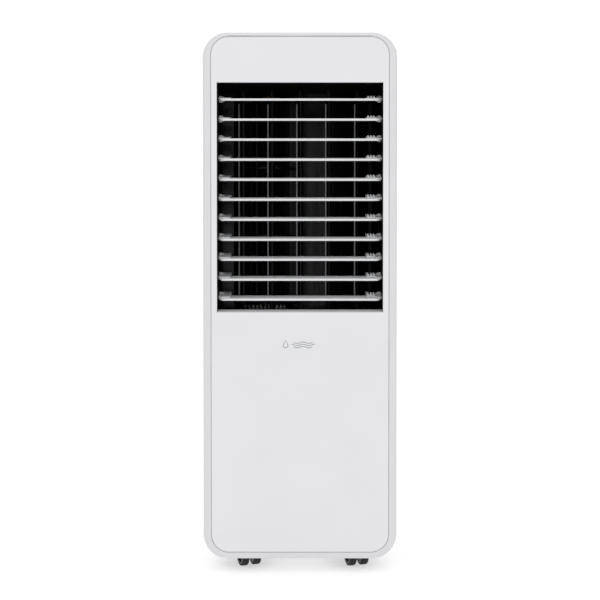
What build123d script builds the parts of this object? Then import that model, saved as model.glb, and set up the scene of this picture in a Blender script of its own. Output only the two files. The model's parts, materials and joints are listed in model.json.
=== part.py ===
# Evaporative air cooler, slim tower on four castors.
# Millimetres, +Z up, origin on the floor under the middle of the cabinet, front towards -Y.
from build123d import *
import math
import os

os.makedirs("parts", exist_ok=True)

# Cabinet
width = 296.0  # outside width
depth = 330.0  # front panel to rear grille
height = 826.0  # floor to top
ground_gap = 21.5  # floor to underside
corner_r = 38.0  # outline corners, seen from the front
wall = 2.5  # moulded walls
rear_round = 6.0  # outer edge at the back
rear_rim = 9.0  # depth of the rear panel's rim
shell_seam = 0.2  # between the two side shells
tongue_w = 8.0
rim_round = 5.5  # outer edge at the front
split_back = 105.0  # front frame's depth, to the joint with the rear housing
lip_len = 6.0
lip_t = 1.5
lip_gap = 0.15
lip_foot = 11.0  # lips stop this far above the floor plate's level
slip = 0.3  # gap round pieces that slide or lift out
fit_gap = 0.05  # radial gap of pins and shafts in their holes

# Front panel and outlet
rim_side = 12.0
rim_top = 6.5
rim_bottom = 10.3
panel_r = 28.0
panel_t = 4.0
seam = 0.5
ledge = 6.0
ledge_t = 2.0
outlet_side = 21.3  # cabinet's side to the outlet
outlet_h = 350.0
outlet_top = 76.2  # cabinet top down to the outlet's top edge
duct_t = 2.0
duct_back = 115.0  # front face to the back end of the outlet duct
sill_d = 20.0
sill_slope = 9.0

# Louvres
louvre_n = 11
louvre_drop = 25.4  # outlet's top edge down to the first front edge
louvre_rise = 19.2  # outlet's bottom edge up to the last front edge
louvre_back = 5.0  # front face to the front edges
louvre_reach = 39.0  # pivot to front edge
blade_d = 30.0
blade_t = 1.8
bead_t = 3.5
louvre_tilt = 9.0  # front edge below level at rest
arm_w = 18.0
arm_tail = 15.0  # arm behind the pivot
hub_r = 5.3
pin_r = 2.5
link_in = 16.7  # outlet's side to the link bar
link_reach = 12.0  # link pin behind the pivot
link_w = 8.0
link_t = 5.0
link_pin_r = 2.0

# Swing vanes
vane_n = 5
vane_side = 35.3  # outlet's side to the first vane's pivot
vane_back = 87.0  # front face to the vane pivots
vane_front_d = 24.0
vane_rear_d = 21.0
vane_t = 2.0
vane_rest = -12.0
vane_gap = 2.0
vane_pin_r = 3.0
vane_link_down = 14.0  # outlet top down to the vane link
vane_link_reach = 16.0
vane_link_t = 4.0
stepper_r = 14.0
stepper_h = 19.0

# Cross-flow blower
drum_side = 24.7  # outlet's left side to the drum
drum_r = 50.0
drum_blades = 28
blade_ring = 12.0
disc_t = 3.0
drum_gap = 7.0
shaft_r = 4.0
scroll_gap = 6.0
tongue_gap = 5.0
motor_r = 42.0
motor_h = 48.0
motor_room = 59.3  # motor's lower face down to the tank's rim
bearing_r = 11.0
shelf_room = 20.0  # shelf's back edge to the pad frame

# Water tank and its bay
tank_side = 30.0  # cabinet's side to the tank's
tank_room = 3.0  # castor sockets to the tank
tank_front = 117.0  # front face to the tank's front wall
cover_t = 7.0
spigot_r = 9.0
spigot_up = 18.0
float_r = 8.0
float_h = 14.0
rod_r = 2.0
gauge_in = 23.0
plug_in = 28.0
plug_r = 5.7
chamber_w = 84.0
chamber_d = 76.0
pump_r = 20.0
pump_h = 48.0
hose_r = 5.0
hose_bore = 3.5

# Filter cassette
cassette_side = 30.0
cassette_up = 46.5  # tank's rim up to the cassette
cassette_down = 90.5  # cabinet's top down to the pad frame
pad_t = 44.0
pad_frame_d = 62.0
grille_t = 7.0
filter_t = 4.0
slat_pitch = 12.0
slat_t = 5.0

# Castors
stem_side = 63.0  # cabinet's side to the stem
stem_in = 57.0  # front or rear face in to the stem
wheel_r = 18.0
wheel_w = 10.6
wheel_in = 4.6
trail = 12.0
stem_r = 4.0
web_t = 8.0
hood_in = 1.5
hood_t = 2.0
well_gap = 6.0  # castor's sweep to the well's wall
well_room = 4.0  # hood to the well's roof
socket_h = 13.0
axle_r = 2.5
gland_in = 18.0  # cassette's side in to the mains gland
gland_r = 6.0
gland_bore = 3.6
castor_turn = {"front_left": 202.0, "front_right": 197.0, "rear_left": -14.0, "rear_right": 35.0}

# Places that follow from the sizes above
well_r = trail + wheel_r + well_gap
well_top = 2 * wheel_r + hood_in + hood_t + well_room
tank_base = well_top + wall + socket_h + tank_room
front_y = -depth / 2
back_y = depth / 2
body_h = height - ground_gap
mid_z = ground_gap + body_h / 2
split_y = front_y + split_back
panel_w = width - 2 * rim_side
panel_h = body_h - rim_top - rim_bottom
panel_z = ground_gap + rim_bottom + panel_h / 2
panel_back = front_y + panel_t
rim_back = panel_back + ledge_t
inner_w = width - 2 * wall
inner_h = body_h - 2 * wall
inner_r = corner_r - wall
floor_z = ground_gap + wall
outlet_w = width - 2 * outlet_side
outlet_z1 = height - outlet_top
outlet_z0 = outlet_z1 - outlet_h
outlet_mid = (outlet_z0 + outlet_z1) / 2
duct_y1 = front_y + duct_back
pivot_y = front_y + louvre_back + louvre_reach
tilt = math.radians(louvre_tilt)
louvre_pitch = (outlet_h - louvre_drop - louvre_rise) / (louvre_n - 1)
link_x = outlet_w / 2 - link_in
vane_y = front_y + vane_back
vane_pitch = (outlet_w - 2 * vane_side) / (vane_n - 1)
vane_x = [vane_pitch * (i - (vane_n - 1) / 2) for i in range(vane_n)]
vane_link_z = outlet_z1 - vane_link_down
drum_x = -outlet_w / 2 + drum_side + drum_r
drum_y = duct_y1 + drum_r
motor_top = outlet_z0 - wall
tank_w = width - 2 * tank_side
tank_y0 = front_y + tank_front
tank_y1 = back_y - cover_t
tank_top = motor_top - motor_h - motor_room
tank_h = tank_top - tank_base
gauge_x = -tank_w / 2 + gauge_in
plug_x = tank_w / 2 - plug_in
chamber_y1 = tank_y0 - 4.0
chamber_y0 = chamber_y1 - chamber_d
cassette_w = width - 2 * cassette_side
cassette_base = tank_top + cassette_up
cassette_top = height - cassette_down
pad_h = cassette_top - cassette_base - 2 * wall
frame_y1 = back_y - grille_t - filter_t
pad_y1 = frame_y1 - 4.0
frame_y0 = frame_y1 - pad_frame_d + filter_t + 4
shelf_y1 = frame_y0 - shelf_room
stem_x = width / 2 - stem_side
stem_y = depth / 2 - stem_in


def at_y(y):
    # upright plane facing the front: local x is +X and local y is +Z
    return Plane.XZ.offset(-y)


def upright(w, h, z, y, r=0.0, x=0.0):
    # rectangle on an upright plane, centred on x and z
    with BuildSketch(at_y(y)) as face:
        with Locations((x, z)):
            if r > 0:
                RectangleRounded(w, h, r)
            else:
                Rectangle(w, h)
    return face.sketch


def slab(y0, y1, w, h, z, r=0.0, x=0.0, mode=Mode.ADD):
    # upright plate between two depths
    extrude(upright(w, h, z, y1, r, x), amount=y1 - y0, mode=mode)


def flat(w, d, z, x=0.0, y=0.0, r=0.0):
    # rectangle on a level plane
    with BuildSketch(Plane.XY.offset(z)) as face:
        with Locations((x, y)):
            if r > 0:
                RectangleRounded(w, d, r)
            else:
                Rectangle(w, d)
    return face.sketch


def block(x0, x1, y0, y1, z0, z1, r=0.0, mode=Mode.ADD):
    # level block between two corners
    extrude(flat(x1 - x0, y1 - y0, z0, (x0 + x1) / 2, (y0 + y1) / 2, r), amount=z1 - z0, mode=mode)


def disc(plane, r, length, mode=Mode.ADD):
    # round bar or hole along a plane's normal
    with BuildSketch(plane) as face:
        Circle(r)
    extrude(face.sketch, amount=length, mode=mode)


def upward(x, y, z):
    return Plane(origin=(x, y, z))


def sideways(x, y, z):
    # plane with its normal along +X
    return Plane(origin=(x, y, z), x_dir=(0, 1, 0), z_dir=(1, 0, 0))


def rearward(x, y, z):
    return Plane(origin=(x, y, z), x_dir=(-1, 0, 0), z_dir=(0, 1, 0))


def forward(x, y, z):
    return Plane(origin=(x, y, z), x_dir=(1, 0, 0), z_dir=(0, -1, 0))


def save(builder, name):
    builder.part.label = name
    export_step(builder.part, "parts/" + name + ".step")


castors = {
    "front_left": (-stem_x, -stem_y),
    "front_right": (stem_x, -stem_y),
    "rear_left": (-stem_x, stem_y),
    "rear_right": (stem_x, stem_y),
}
screw_points = [(sx * 20.0, y) for sx in (-1, 1) for y in (front_y + 20, split_y + 30, back_y - 20)]
screw_r = 1.9
screw_boss = 14.0
screw_head = 2.0


def cut_floor(y0, y1):
    # castor and screw holes through the cabinet's bottom wall
    for x, y in castors.values():
        if y0 < y < y1:
            disc(upward(x, y, ground_gap - 1), well_r, wall + 4, Mode.SUBTRACT)
    for x, y in screw_points:
        if y0 < y < y1:
            disc(upward(x, y, ground_gap - 1), screw_r + slip, wall + 2, Mode.SUBTRACT)


# Front frame: the rounded surround that carries the front panel
overlay_w = 190.0
overlay_d = 62.0
overlay_in = 17.0  # front face back to the overlay
overlay_t = 1.2
overlay_y = front_y + overlay_in + overlay_d / 2
overlay_lip = 4.0
with BuildPart() as front_frame:
    slab(front_y, split_y, width, body_h, mid_z, corner_r)
    fillet(front_frame.faces().sort_by(Axis.Y)[0].edges(), rim_round)
    slab(rim_back, split_y, inner_w, inner_h, mid_z, inner_r, mode=Mode.SUBTRACT)
    slab(front_y, panel_back, panel_w + 2 * seam, panel_h + 2 * seam, panel_z, panel_r + seam,
         mode=Mode.SUBTRACT)
    slab(panel_back, rim_back, panel_w - 2 * ledge, panel_h - 2 * ledge, panel_z, panel_r - ledge,
         mode=Mode.SUBTRACT)
    extrude(flat(overlay_w, overlay_d, height - overlay_t, 0, overlay_y, 8), amount=wall,
            mode=Mode.SUBTRACT)
    extrude(flat(overlay_w - 2 * overlay_lip, overlay_d - 2 * overlay_lip, height - wall - 1, 0,
                 overlay_y, 5), amount=wall + 1, mode=Mode.SUBTRACT)
    cut_floor(front_y, split_y)
save(front_frame, "front_frame")

# Front panel with the outlet opening, its sill and its clips
clip_t = 2.0
clip_w = 14.0
clip_z = [panel_z + s * panel_h * 0.36 for s in (-1, 0, 1)]
clip_x = panel_w / 2 - ledge - slip - clip_t / 2
with BuildPart() as front_panel:
    slab(front_y, panel_back, panel_w, panel_h, panel_z, panel_r)
    fillet(front_panel.faces().sort_by(Axis.Y)[0].edges(), 2.4)
    slab(front_y, panel_back, outlet_w, outlet_h, outlet_mid, mode=Mode.SUBTRACT)
    for sx in (-1, 1):
        for z in (clip_z[0], clip_z[1] - 60, clip_z[2] + 60):
            slab(panel_back, rim_back + 3, clip_t, clip_w, z, x=sx * clip_x)
    with BuildSketch(Plane.YZ.offset(-outlet_w / 2 + slip)):
        with BuildLine():
            rise = 0.6 + sill_d * math.tan(math.radians(sill_slope))
            Polyline((front_y + 0.8, outlet_z0), (front_y + sill_d, outlet_z0),
                     (front_y + sill_d, outlet_z0 + rise), (front_y + 0.8, outlet_z0 + 0.6), close=True)
        make_face()
    extrude(amount=outlet_w - 2 * slip)
save(front_panel, "front_panel")

# Touch overlay on the top, and the board under it
with BuildPart() as control_overlay:
    extrude(flat(overlay_w - 2 * slip, overlay_d - 2 * slip, height - overlay_t, 0, overlay_y, 7.5),
            amount=overlay_t)
    extrude(flat(overlay_w - 2 * overlay_lip - 2 * slip, overlay_d - 2 * overlay_lip - 2 * slip,
                 height - overlay_t - 2, 0, overlay_y, 4.5), amount=2)
save(control_overlay, "control_overlay")

# Grip cups let into both sides near the top
grip_len = 92.0
grip_h = 30.0
grip_deep = 15.0
grip_t = 2.0
grip_back = 103.0  # back of the cabinet to the middle of the cup
grip_down = 162.0
grip_y = back_y - grip_back
grip_z = height - grip_down


with BuildPart() as side_grips:
    for side in (-1, 1):
        outside = side * width / 2
        with BuildSketch(sideways(outside - side * (wall + grip_deep), grip_y, grip_z)):
            RectangleRounded(grip_len + 2 * grip_t, grip_h + 2 * grip_t, 8)
        extrude(amount=side * grip_deep)
        with BuildSketch(sideways(outside - side * wall, grip_y, grip_z)):
            RectangleRounded(grip_len - 2 * slip, grip_h - 2 * slip, 6 - slip)
        extrude(amount=side * wall)
        with BuildSketch(sideways(outside - side * (wall + grip_deep - grip_t), grip_y, grip_z)):
            RectangleRounded(grip_len - 2 * grip_t, grip_h - 2 * grip_t, 5)
        extrude(amount=side * (grip_deep + wall), mode=Mode.SUBTRACT)
save(side_grips, "side_grips")

# Cabinet behind the front frame: two side shells that meet in the middle, closed by a rear panel
bay_w = tank_w + 2 * slip + 4
bay_z0 = tank_base - 5
bay_z1 = tank_top + 9
inlet_w = cassette_w + 2 * slip + 2
inlet_z0 = cassette_base - 1
inlet_z1 = cassette_top + 9
gland_x = cassette_w / 2 - gland_in
gland_z = (bay_z1 + inlet_z0) / 2
shell_y1 = back_y - rear_rim


def ring(y0, y1, gap, t):
    # lip of thickness t that stands inside the cabinet's walls, and stops short of the base plate
    extrude(upright(inner_w - 2 * gap, inner_h - 2 * gap, mid_z, y1, inner_r - gap), amount=y1 - y0)
    slab(y0 - 1, y1 + 1, inner_w - 2 * (gap + t), inner_h - 2 * (gap + t), mid_z, inner_r - gap - t,
         mode=Mode.SUBTRACT)
    slab(y0, y1, inner_w + 1, lip_foot, floor_z + lip_foot / 2 - 1, mode=Mode.SUBTRACT)


with BuildPart() as front_lip:
    ring(split_y, split_y + lip_len, 0, lip_gap + lip_t)
    ring(split_y - lip_len, split_y, lip_gap, lip_t)

with BuildPart() as side_shells:
    slab(split_y, shell_y1, width, body_h, mid_z, corner_r)
    slab(split_y - 1, shell_y1 + 1, inner_w, inner_h, mid_z, inner_r, mode=Mode.SUBTRACT)
    add(front_lip.part)
    for side in (-1, 1):
        with BuildSketch(sideways(side * (width / 2 - wall - 1), grip_y, grip_z)):
            RectangleRounded(grip_len, grip_h, 6)
        extrude(amount=side * (wall + 2), mode=Mode.SUBTRACT)
    cut_floor(split_y, shell_y1)
    block(-shell_seam / 2, shell_seam / 2, split_y - lip_len - 1, shell_y1 + 1, 0, height + 1,
          mode=Mode.SUBTRACT)
    # tongue of the left shell under the right one's top wall
    block(-tongue_w, -shell_seam / 2, split_y + lip_len + 2, shell_y1 - lip_len - 2,
          height - wall - lip_gap - lip_t, height - wall)
    block(-shell_seam / 2, tongue_w, split_y + lip_len + 2, shell_y1 - lip_len - 2,
          height - wall - lip_gap - lip_t, height - wall - lip_gap)
save(side_shells, "side_shells")

with BuildPart() as rear_lip:
    ring(shell_y1, back_y - wall, 0, lip_gap + lip_t)
    ring(shell_y1 - lip_len, shell_y1, lip_gap, lip_t)

with BuildPart() as rear_panel:
    slab(shell_y1, back_y, width, body_h, mid_z, corner_r)
    fillet(rear_panel.faces().sort_by(Axis.Y)[-1].edges(), rear_round)
    slab(shell_y1 - 1, back_y - wall, inner_w, inner_h, mid_z, inner_r, mode=Mode.SUBTRACT)
    add(rear_lip.part)
    slab(back_y - wall - 1, back_y + 1, inlet_w, inlet_z1 - inlet_z0, (inlet_z0 + inlet_z1) / 2, 6,
         mode=Mode.SUBTRACT)
    slab(back_y - wall - 1, back_y + 1, bay_w, bay_z1 - bay_z0, (bay_z0 + bay_z1) / 2, 6,
         mode=Mode.SUBTRACT)
    disc(rearward(gland_x, back_y - wall - 1, gland_z), gland_r + fit_gap, wall + 2, Mode.SUBTRACT)
    cut_floor(shell_y1, back_y)
save(rear_panel, "rear_panel")

# Gland for the mains lead, pushed in from inside the back wall
with BuildPart() as cord_gland:
    disc(rearward(gland_x, back_y - wall - 11, gland_z), gland_r + 3, 11)
    disc(rearward(gland_x, back_y - wall, gland_z), gland_r, wall)
    disc(rearward(gland_x, back_y - wall - 12, gland_z), gland_bore, wall + 14, Mode.SUBTRACT)
save(cord_gland, "cord_gland")

# Base plate: castor wells and sockets, tank rails and screw bosses
rail_x = 38.0
rail_w = 8.0
with BuildPart() as base_plate:
    block(-inner_w / 2, inner_w / 2, rim_back + 0.5, back_y - wall - 0.5, floor_z, floor_z + wall)
    for x, y in castors.values():
        disc(upward(x, y, floor_z), well_r + wall, well_top + wall - floor_z)
        disc(upward(x, y, well_top), stem_r + 4, wall + socket_h)
    for side in (-1, 1):
        block(side * rail_x - rail_w / 2, side * rail_x + rail_w / 2, tank_y0 + 6, tank_y1 - 2,
              floor_z, tank_base - 0.2)
    block(-chamber_w / 2 + 12, chamber_w / 2 - 12, chamber_y0 + 8, chamber_y1 - 4, floor_z, tank_base)
    for x, y in screw_points:
        disc(upward(x, y, floor_z), screw_r + 2.6, screw_boss + wall)
    for x, y in castors.values():
        disc(upward(x, y, floor_z - 1), well_r, well_top - floor_z + 1, Mode.SUBTRACT)
        disc(upward(x, y, well_top - 1), stem_r + fit_gap, socket_h + wall - 1, Mode.SUBTRACT)
    for x, y in screw_points:
        disc(upward(x, y, floor_z - 1), screw_r + fit_gap, screw_boss + wall, Mode.SUBTRACT)
    extrude(upright(inner_w - 2 * lip_gap, inner_h, mid_z, back_y - wall - 0.5, inner_r),
            amount=depth - wall - panel_t - ledge_t, mode=Mode.INTERSECT)
save(base_plate, "base_plate")

with BuildPart() as base_screws:
    for x, y in screw_points:
        disc(upward(x, y, ground_gap - screw_head), screw_r + 2.1, screw_head)
        disc(upward(x, y, ground_gap), screw_r, wall + screw_boss - 1)
save(base_screws, "base_screws")

# Outlet duct: holds the louvre and vane pivots behind the panel opening
louvre_z = [outlet_z1 - louvre_drop - i * louvre_pitch + louvre_reach * math.sin(tilt)
            for i in range(louvre_n)]
with BuildPart() as outlet_duct:
    slab(panel_back, duct_y1, outlet_w + 2 * duct_t, outlet_h + 2 * duct_t, outlet_mid)
    slab(panel_back, panel_back + duct_t, outlet_w + 2 * duct_t, outlet_h + 16, outlet_mid)
    slab(panel_back - 1, duct_y1 + 1, outlet_w, outlet_h, outlet_mid, mode=Mode.SUBTRACT)
    for z in louvre_z:
        disc(sideways(-outlet_w / 2 - 5, pivot_y, z), pin_r + fit_gap, outlet_w + 10, Mode.SUBTRACT)
    for x in vane_x:
        disc(upward(x, vane_y, outlet_z0 - 5), vane_pin_r + fit_gap, outlet_h + 10, Mode.SUBTRACT)
save(outlet_duct, "outlet_duct")


# Louvre: tapered blade with a rounded front bead, an arm at the left and a link clip at the right
def louvre_frame(z):
    # pivot plane, turned so that the blade runs forward and down
    return Plane(origin=(0, pivot_y, z), x_dir=(1, 0, 0), z_dir=(0, -math.sin(tilt), math.cos(tilt)))


def louvre(name, z):
    at = louvre_frame(z)
    end_x = outlet_w / 2 - slip - 0.4
    section = Plane(origin=at.from_local_coords((-end_x, 0, 0)), x_dir=at.y_dir, z_dir=(1, 0, 0))
    with BuildPart() as part:
        with BuildSketch(section):
            with BuildLine():
                Polyline((-louvre_reach + bead_t / 2, -bead_t / 2), (-louvre_reach + 9, -blade_t / 2),
                         (-louvre_reach + blade_d, -blade_t / 2), (-louvre_reach + blade_d, blade_t / 2),
                         (-louvre_reach + 9, blade_t / 2), (-louvre_reach + bead_t / 2, bead_t / 2))
                ThreePointArc((-louvre_reach + bead_t / 2, bead_t / 2), (-louvre_reach, 0),
                              (-louvre_reach + bead_t / 2, -bead_t / 2))
            make_face()
        extrude(amount=2 * end_x)
        with BuildSketch(at.offset(-6)):
            with BuildLine():
                corner = 13.0
                Line((-end_x + corner, -louvre_reach), (end_x - corner, -louvre_reach))
                RadiusArc((end_x - corner, -louvre_reach), (end_x, -louvre_reach + corner), -corner * 1.2)
                Line((end_x, -louvre_reach + corner), (end_x, 10))
                Line((end_x, 10), (-end_x, 10))
                Line((-end_x, 10), (-end_x, -louvre_reach + corner))
                RadiusArc((-end_x, -louvre_reach + corner), (-end_x + corner, -louvre_reach), -corner * 1.2)
            make_face()
        extrude(amount=12, mode=Mode.INTERSECT)
        # left arm, raised a little over the blade
        with BuildSketch(at.offset(-blade_t / 2)):
            with Locations((-end_x + arm_w / 2, (arm_tail - louvre_reach + 12) / 2)):
                RectangleRounded(arm_w, louvre_reach - 12 + arm_tail, 3)
        extrude(amount=blade_t + 1.7)
        # right arm between the blade and its hub
        with BuildSketch(at.offset(-blade_t / 2)):
            with Locations((end_x - 4.5, -louvre_reach / 2 + 6)):
                Rectangle(9, louvre_reach - 12)
        extrude(amount=blade_t + 1.2)
        for side in (-1, 1):
            hub = Plane(origin=at.from_local_coords((side * end_x, 0, 0)), x_dir=(0, 1, 0),
                        z_dir=(-side, 0, 0))
            with BuildSketch(hub):
                Circle(hub_r)
            extrude(amount=4)
            with BuildSketch(hub.offset(4)):
                Circle(hub_r)
            extrude(amount=5, taper=30)
            with BuildSketch(hub):
                Circle(pin_r)
            extrude(amount=-(duct_t + 1.6 + slip))
        # serrated clip for the link: toothed pad, ear and pin
        clip_x0 = link_x - link_t / 2 - 1
        with BuildSketch(at.offset(blade_t / 2 - 0.2)):
            with Locations((link_x, -11)):
                Rectangle(14, 16)
        extrude(amount=1.9)
        with BuildSketch(at.offset(blade_t / 2)):
            with GridLocations(4.5, 13, 3, 2):
                with Locations((link_x, -11)):
                    Rectangle(2, 2.4)
        extrude(amount=4.2)
        with BuildSketch(at.offset(-blade_t / 2)):
            with Locations((clip_x0 - 1.75, (link_reach + 3 - 16) / 2)):
                Rectangle(3.5, link_reach + 3 + 16)
        extrude(amount=blade_t + 1.7)
        pin = Plane(origin=at.from_local_coords((clip_x0 - 1.75, link_reach, 0)), x_dir=(0, 1, 0),
                    z_dir=(1, 0, 0))
        with BuildSketch(pin):
            Circle(link_pin_r)
        extrude(amount=link_t + 4.5)
    save(part, name)


for i in range(louvre_n):
    louvre("louvre_" + str(i + 1).zfill(2), louvre_z[i])

# Link bar that ties the louvres together
link_y = pivot_y + link_reach * math.cos(tilt)
link_lift = link_reach * math.sin(tilt)
with BuildPart() as louvre_link:
    link_mid = (louvre_z[0] + louvre_z[-1]) / 2 + link_lift
    link_len = louvre_z[0] - louvre_z[-1] + link_w
    with BuildSketch(sideways(link_x - link_t / 2, link_y, link_mid)):
        RectangleRounded(link_w, link_len, link_w / 2 - 0.1)
    extrude(amount=link_t)
    for z in louvre_z:
        disc(sideways(link_x - link_t, link_y, z + link_lift), link_pin_r + fit_gap, 2 * link_t,
             Mode.SUBTRACT)
save(louvre_link, "louvre_link")


# Swing vane: thin upright blade with its front corners cut back to the pivot line
def vane_frame(x):
    turn = math.radians(vane_rest)
    return Plane(origin=(x, vane_y, 0), x_dir=(math.cos(turn), math.sin(turn), 0), z_dir=(0, 0, 1))


def vane(name, x, shaft_up):
    at = vane_frame(x)
    side_view = Plane(origin=at.from_local_coords((-vane_t / 2, 0, 0)), x_dir=at.y_dir, z_dir=at.x_dir)
    low = outlet_z0 + vane_gap
    high = outlet_z1 - vane_gap
    cut = 16.0
    with BuildPart() as part:
        with BuildSketch(side_view):
            with BuildLine():
                Polyline((0, low + 6), (-vane_front_d, low + 6 + cut), (-vane_front_d, high - 6 - cut),
                         (0, high - 6), (vane_rear_d - 6, high - 6), (vane_rear_d, high - 12),
                         (vane_rear_d, low + 12), (vane_rear_d - 6, low + 6), close=True)
            make_face()
        extrude(amount=vane_t)
        disc(upward(x, vane_y, low), 4.0, high - low)
        disc(upward(x, vane_y, outlet_z0 - duct_t - 1), vane_pin_r, outlet_h + 2 * duct_t + 2 + shaft_up)
        notch = Plane(origin=at.from_local_coords((0, vane_link_reach + 1.5, vane_link_z - 5)),
                      x_dir=at.x_dir, z_dir=(0, 0, 1))
        with BuildSketch(notch):
            Rectangle(3 * vane_t, 17)
        extrude(amount=vane_link_t + 6, mode=Mode.SUBTRACT)
        stud = Plane(origin=at.from_local_coords((0, vane_link_reach, vane_link_z - 6)))
        with BuildSketch(stud):
            Circle(1.8)
        extrude(amount=vane_link_t + 8)
    save(part, name)


for i in range(vane_n):
    driven = i == vane_n // 2
    vane("vane_" + str(i + 1), vane_x[i], stepper_h - 7 if driven else 0)

with BuildPart() as vane_link:
    for_first = vane_frame(vane_x[0]).from_local_coords((0, vane_link_reach, vane_link_z))
    link_span = vane_pitch * (vane_n - 1)
    with BuildSketch(Plane.XY.offset(vane_link_z)):
        with Locations((for_first.X + link_span / 2, for_first.Y)):
            RectangleRounded(link_span + 9, 9, 4.4)
    extrude(amount=vane_link_t)
    for i in range(vane_n):
        disc(upward(for_first.X + i * vane_pitch, for_first.Y, vane_link_z - 1), 1.8 + fit_gap,
             vane_link_t + 2, Mode.SUBTRACT)
save(vane_link, "vane_link")

# Stepper motor over the middle vane
stepper_z = outlet_z1 + duct_t + 1.2
with BuildPart() as swing_motor:
    disc(upward(0, vane_y, stepper_z), stepper_r, stepper_h)
    block(-stepper_r - 7, stepper_r + 7, vane_y - 3.5, vane_y + 3.5, stepper_z, stepper_z + 1.2)
    block(-8, 8, vane_y, vane_y + stepper_r + 3, stepper_z + 2, stepper_z + stepper_h - 2)
    for side in (-1, 1):
        disc(upward(side * (stepper_r + 3.5), vane_y, outlet_z1 + duct_t), 3, 1.2)
    disc(upward(0, vane_y, stepper_z - 1), vane_pin_r + fit_gap, stepper_h - 3, Mode.SUBTRACT)
save(swing_motor, "swing_motor")

# Blower casing: bottom shelf, scroll wall to the right of the drum and tongue to its left, and a top plate
shelf_z0 = motor_top
rib_in = 14.0
rib_t = 2.4
rib_h = 8.0
hose_x = inner_w / 2 - 9.5
hose_y = duct_y1 + 30.0


def shelf(z, rib_z, hole_r):
    block(-inner_w / 2, inner_w / 2, duct_y1, shelf_y1, z, z + wall)
    for x in (-inner_w / 2 + rib_in, inner_w / 2 - rib_in):
        block(x - rib_t / 2, x + rib_t / 2, hose_y + 20, shelf_y1, rib_z, rib_z + rib_h)
    disc(upward(drum_x, drum_y, z - 1), hole_r, wall + 2, Mode.SUBTRACT)
    disc(upward(hose_x, hose_y, z - 1), hose_r + 0.8, wall + 2, Mode.SUBTRACT)


scroll_x = outlet_w / 2 + duct_t / 2
scroll_a = math.radians(60)
scroll_end = (drum_x + (drum_r + scroll_gap) * math.cos(scroll_a),
              drum_y + (drum_r + scroll_gap) * math.sin(scroll_a))
tongue_a = math.radians(212)
tongue_tip = (drum_x + (drum_r + tongue_gap) * math.cos(tongue_a),
              drum_y + (drum_r + tongue_gap) * math.sin(tongue_a))
wall_y = duct_y1 + wall / 2
with BuildPart() as blower_casing:
    shelf(shelf_z0, shelf_z0 - rib_h, 12.0)
    with BuildSketch(Plane.XY.offset(outlet_z0)):
        with BuildLine():
            TangentArc((scroll_x, wall_y), scroll_end, tangent=(0, 1))
        trace(line_width=wall)
        with BuildLine():
            FilletPolyline((-inner_w / 2 + 1.3, wall_y), (tongue_tip[0] - 6, wall_y), tongue_tip, radius=6)
        trace(line_width=wall)
    extrude(amount=outlet_h)
save(blower_casing, "blower_casing")

with BuildPart() as blower_top_plate:
    shelf(outlet_z1, outlet_z1 + wall, bearing_r + fit_gap)
save(blower_top_plate, "blower_top_plate")

# Blower drum: forward-curved blades between discs
drum_z0 = outlet_z0 + drum_gap
drum_z1 = outlet_z1 - drum_gap
with BuildPart() as blower_drum:
    with BuildSketch(Plane.XY.offset(drum_z0)):
        with Locations((drum_x, drum_y)):
            with PolarLocations(0, drum_blades):
                with Locations((drum_r - 1 - blade_ring / 2, 0)):
                    Rectangle(blade_ring, 1.1, rotation=28)
    extrude(amount=drum_z1 - drum_z0)
    for i in range(4):
        z = drum_z0 + i * (drum_z1 - drum_z0 - disc_t) / 3
        disc(upward(drum_x, drum_y, z), drum_r, disc_t)
        if i in (1, 2):
            disc(upward(drum_x, drum_y, z - 1), drum_r - blade_ring - 1.5, disc_t + 2, Mode.SUBTRACT)
    disc(upward(drum_x, drum_y, drum_z0), 12, 22)
    disc(upward(drum_x, drum_y, drum_z1 - 14), 9, 14)
    disc(upward(drum_x, drum_y, drum_z0 - 1), shaft_r, drum_z1 - drum_z0 + 2, Mode.SUBTRACT)
save(blower_drum, "blower_drum")

with BuildPart() as fan_motor:
    disc(upward(drum_x, drum_y, motor_top - motor_h), motor_r, motor_h)
    fillet(fan_motor.faces().sort_by(Axis.Z)[0].edges(), 6)
    disc(upward(drum_x, drum_y, motor_top - 3), motor_r + 6, 3)
    disc(upward(drum_x, drum_y, motor_top - motor_h - 3), 13, 5)
    disc(upward(drum_x, drum_y, motor_top - motor_h + 8), shaft_r + fit_gap, motor_h, Mode.SUBTRACT)
save(fan_motor, "fan_motor")

with BuildPart() as blower_shaft:
    disc(upward(drum_x, drum_y, motor_top - motor_h + 12), shaft_r, outlet_z1 + 9 - motor_top + motor_h - 12)
save(blower_shaft, "blower_shaft")

with BuildPart() as drum_bearing:
    disc(upward(drum_x, drum_y, outlet_z1 - 3), bearing_r, wall + 6)
    disc(upward(drum_x, drum_y, outlet_z1 + wall), bearing_r + 4, 3)
    disc(upward(drum_x, drum_y, outlet_z1 - 4), shaft_r + fit_gap, wall + 12, Mode.SUBTRACT)
save(drum_bearing, "drum_bearing")

# Power supply in its box on the top plate
box_w = 102.0
box_d = 88.0
box_h = 26.0
box_x1 = hose_x - 24.0
box_x0 = box_x1 - box_w
box_y0 = duct_y1 + 12.0
box_z0 = outlet_z1 + wall
with BuildPart() as power_box:
    block(box_x0, box_x1, box_y0, box_y0 + box_d, box_z0, box_z0 + box_h, 4)
    block(box_x0 + wall, box_x1 - wall, box_y0 + wall, box_y0 + box_d - wall, box_z0 + 2, box_z0 + box_h + 1,
          2, mode=Mode.SUBTRACT)
save(power_box, "power_box")

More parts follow.
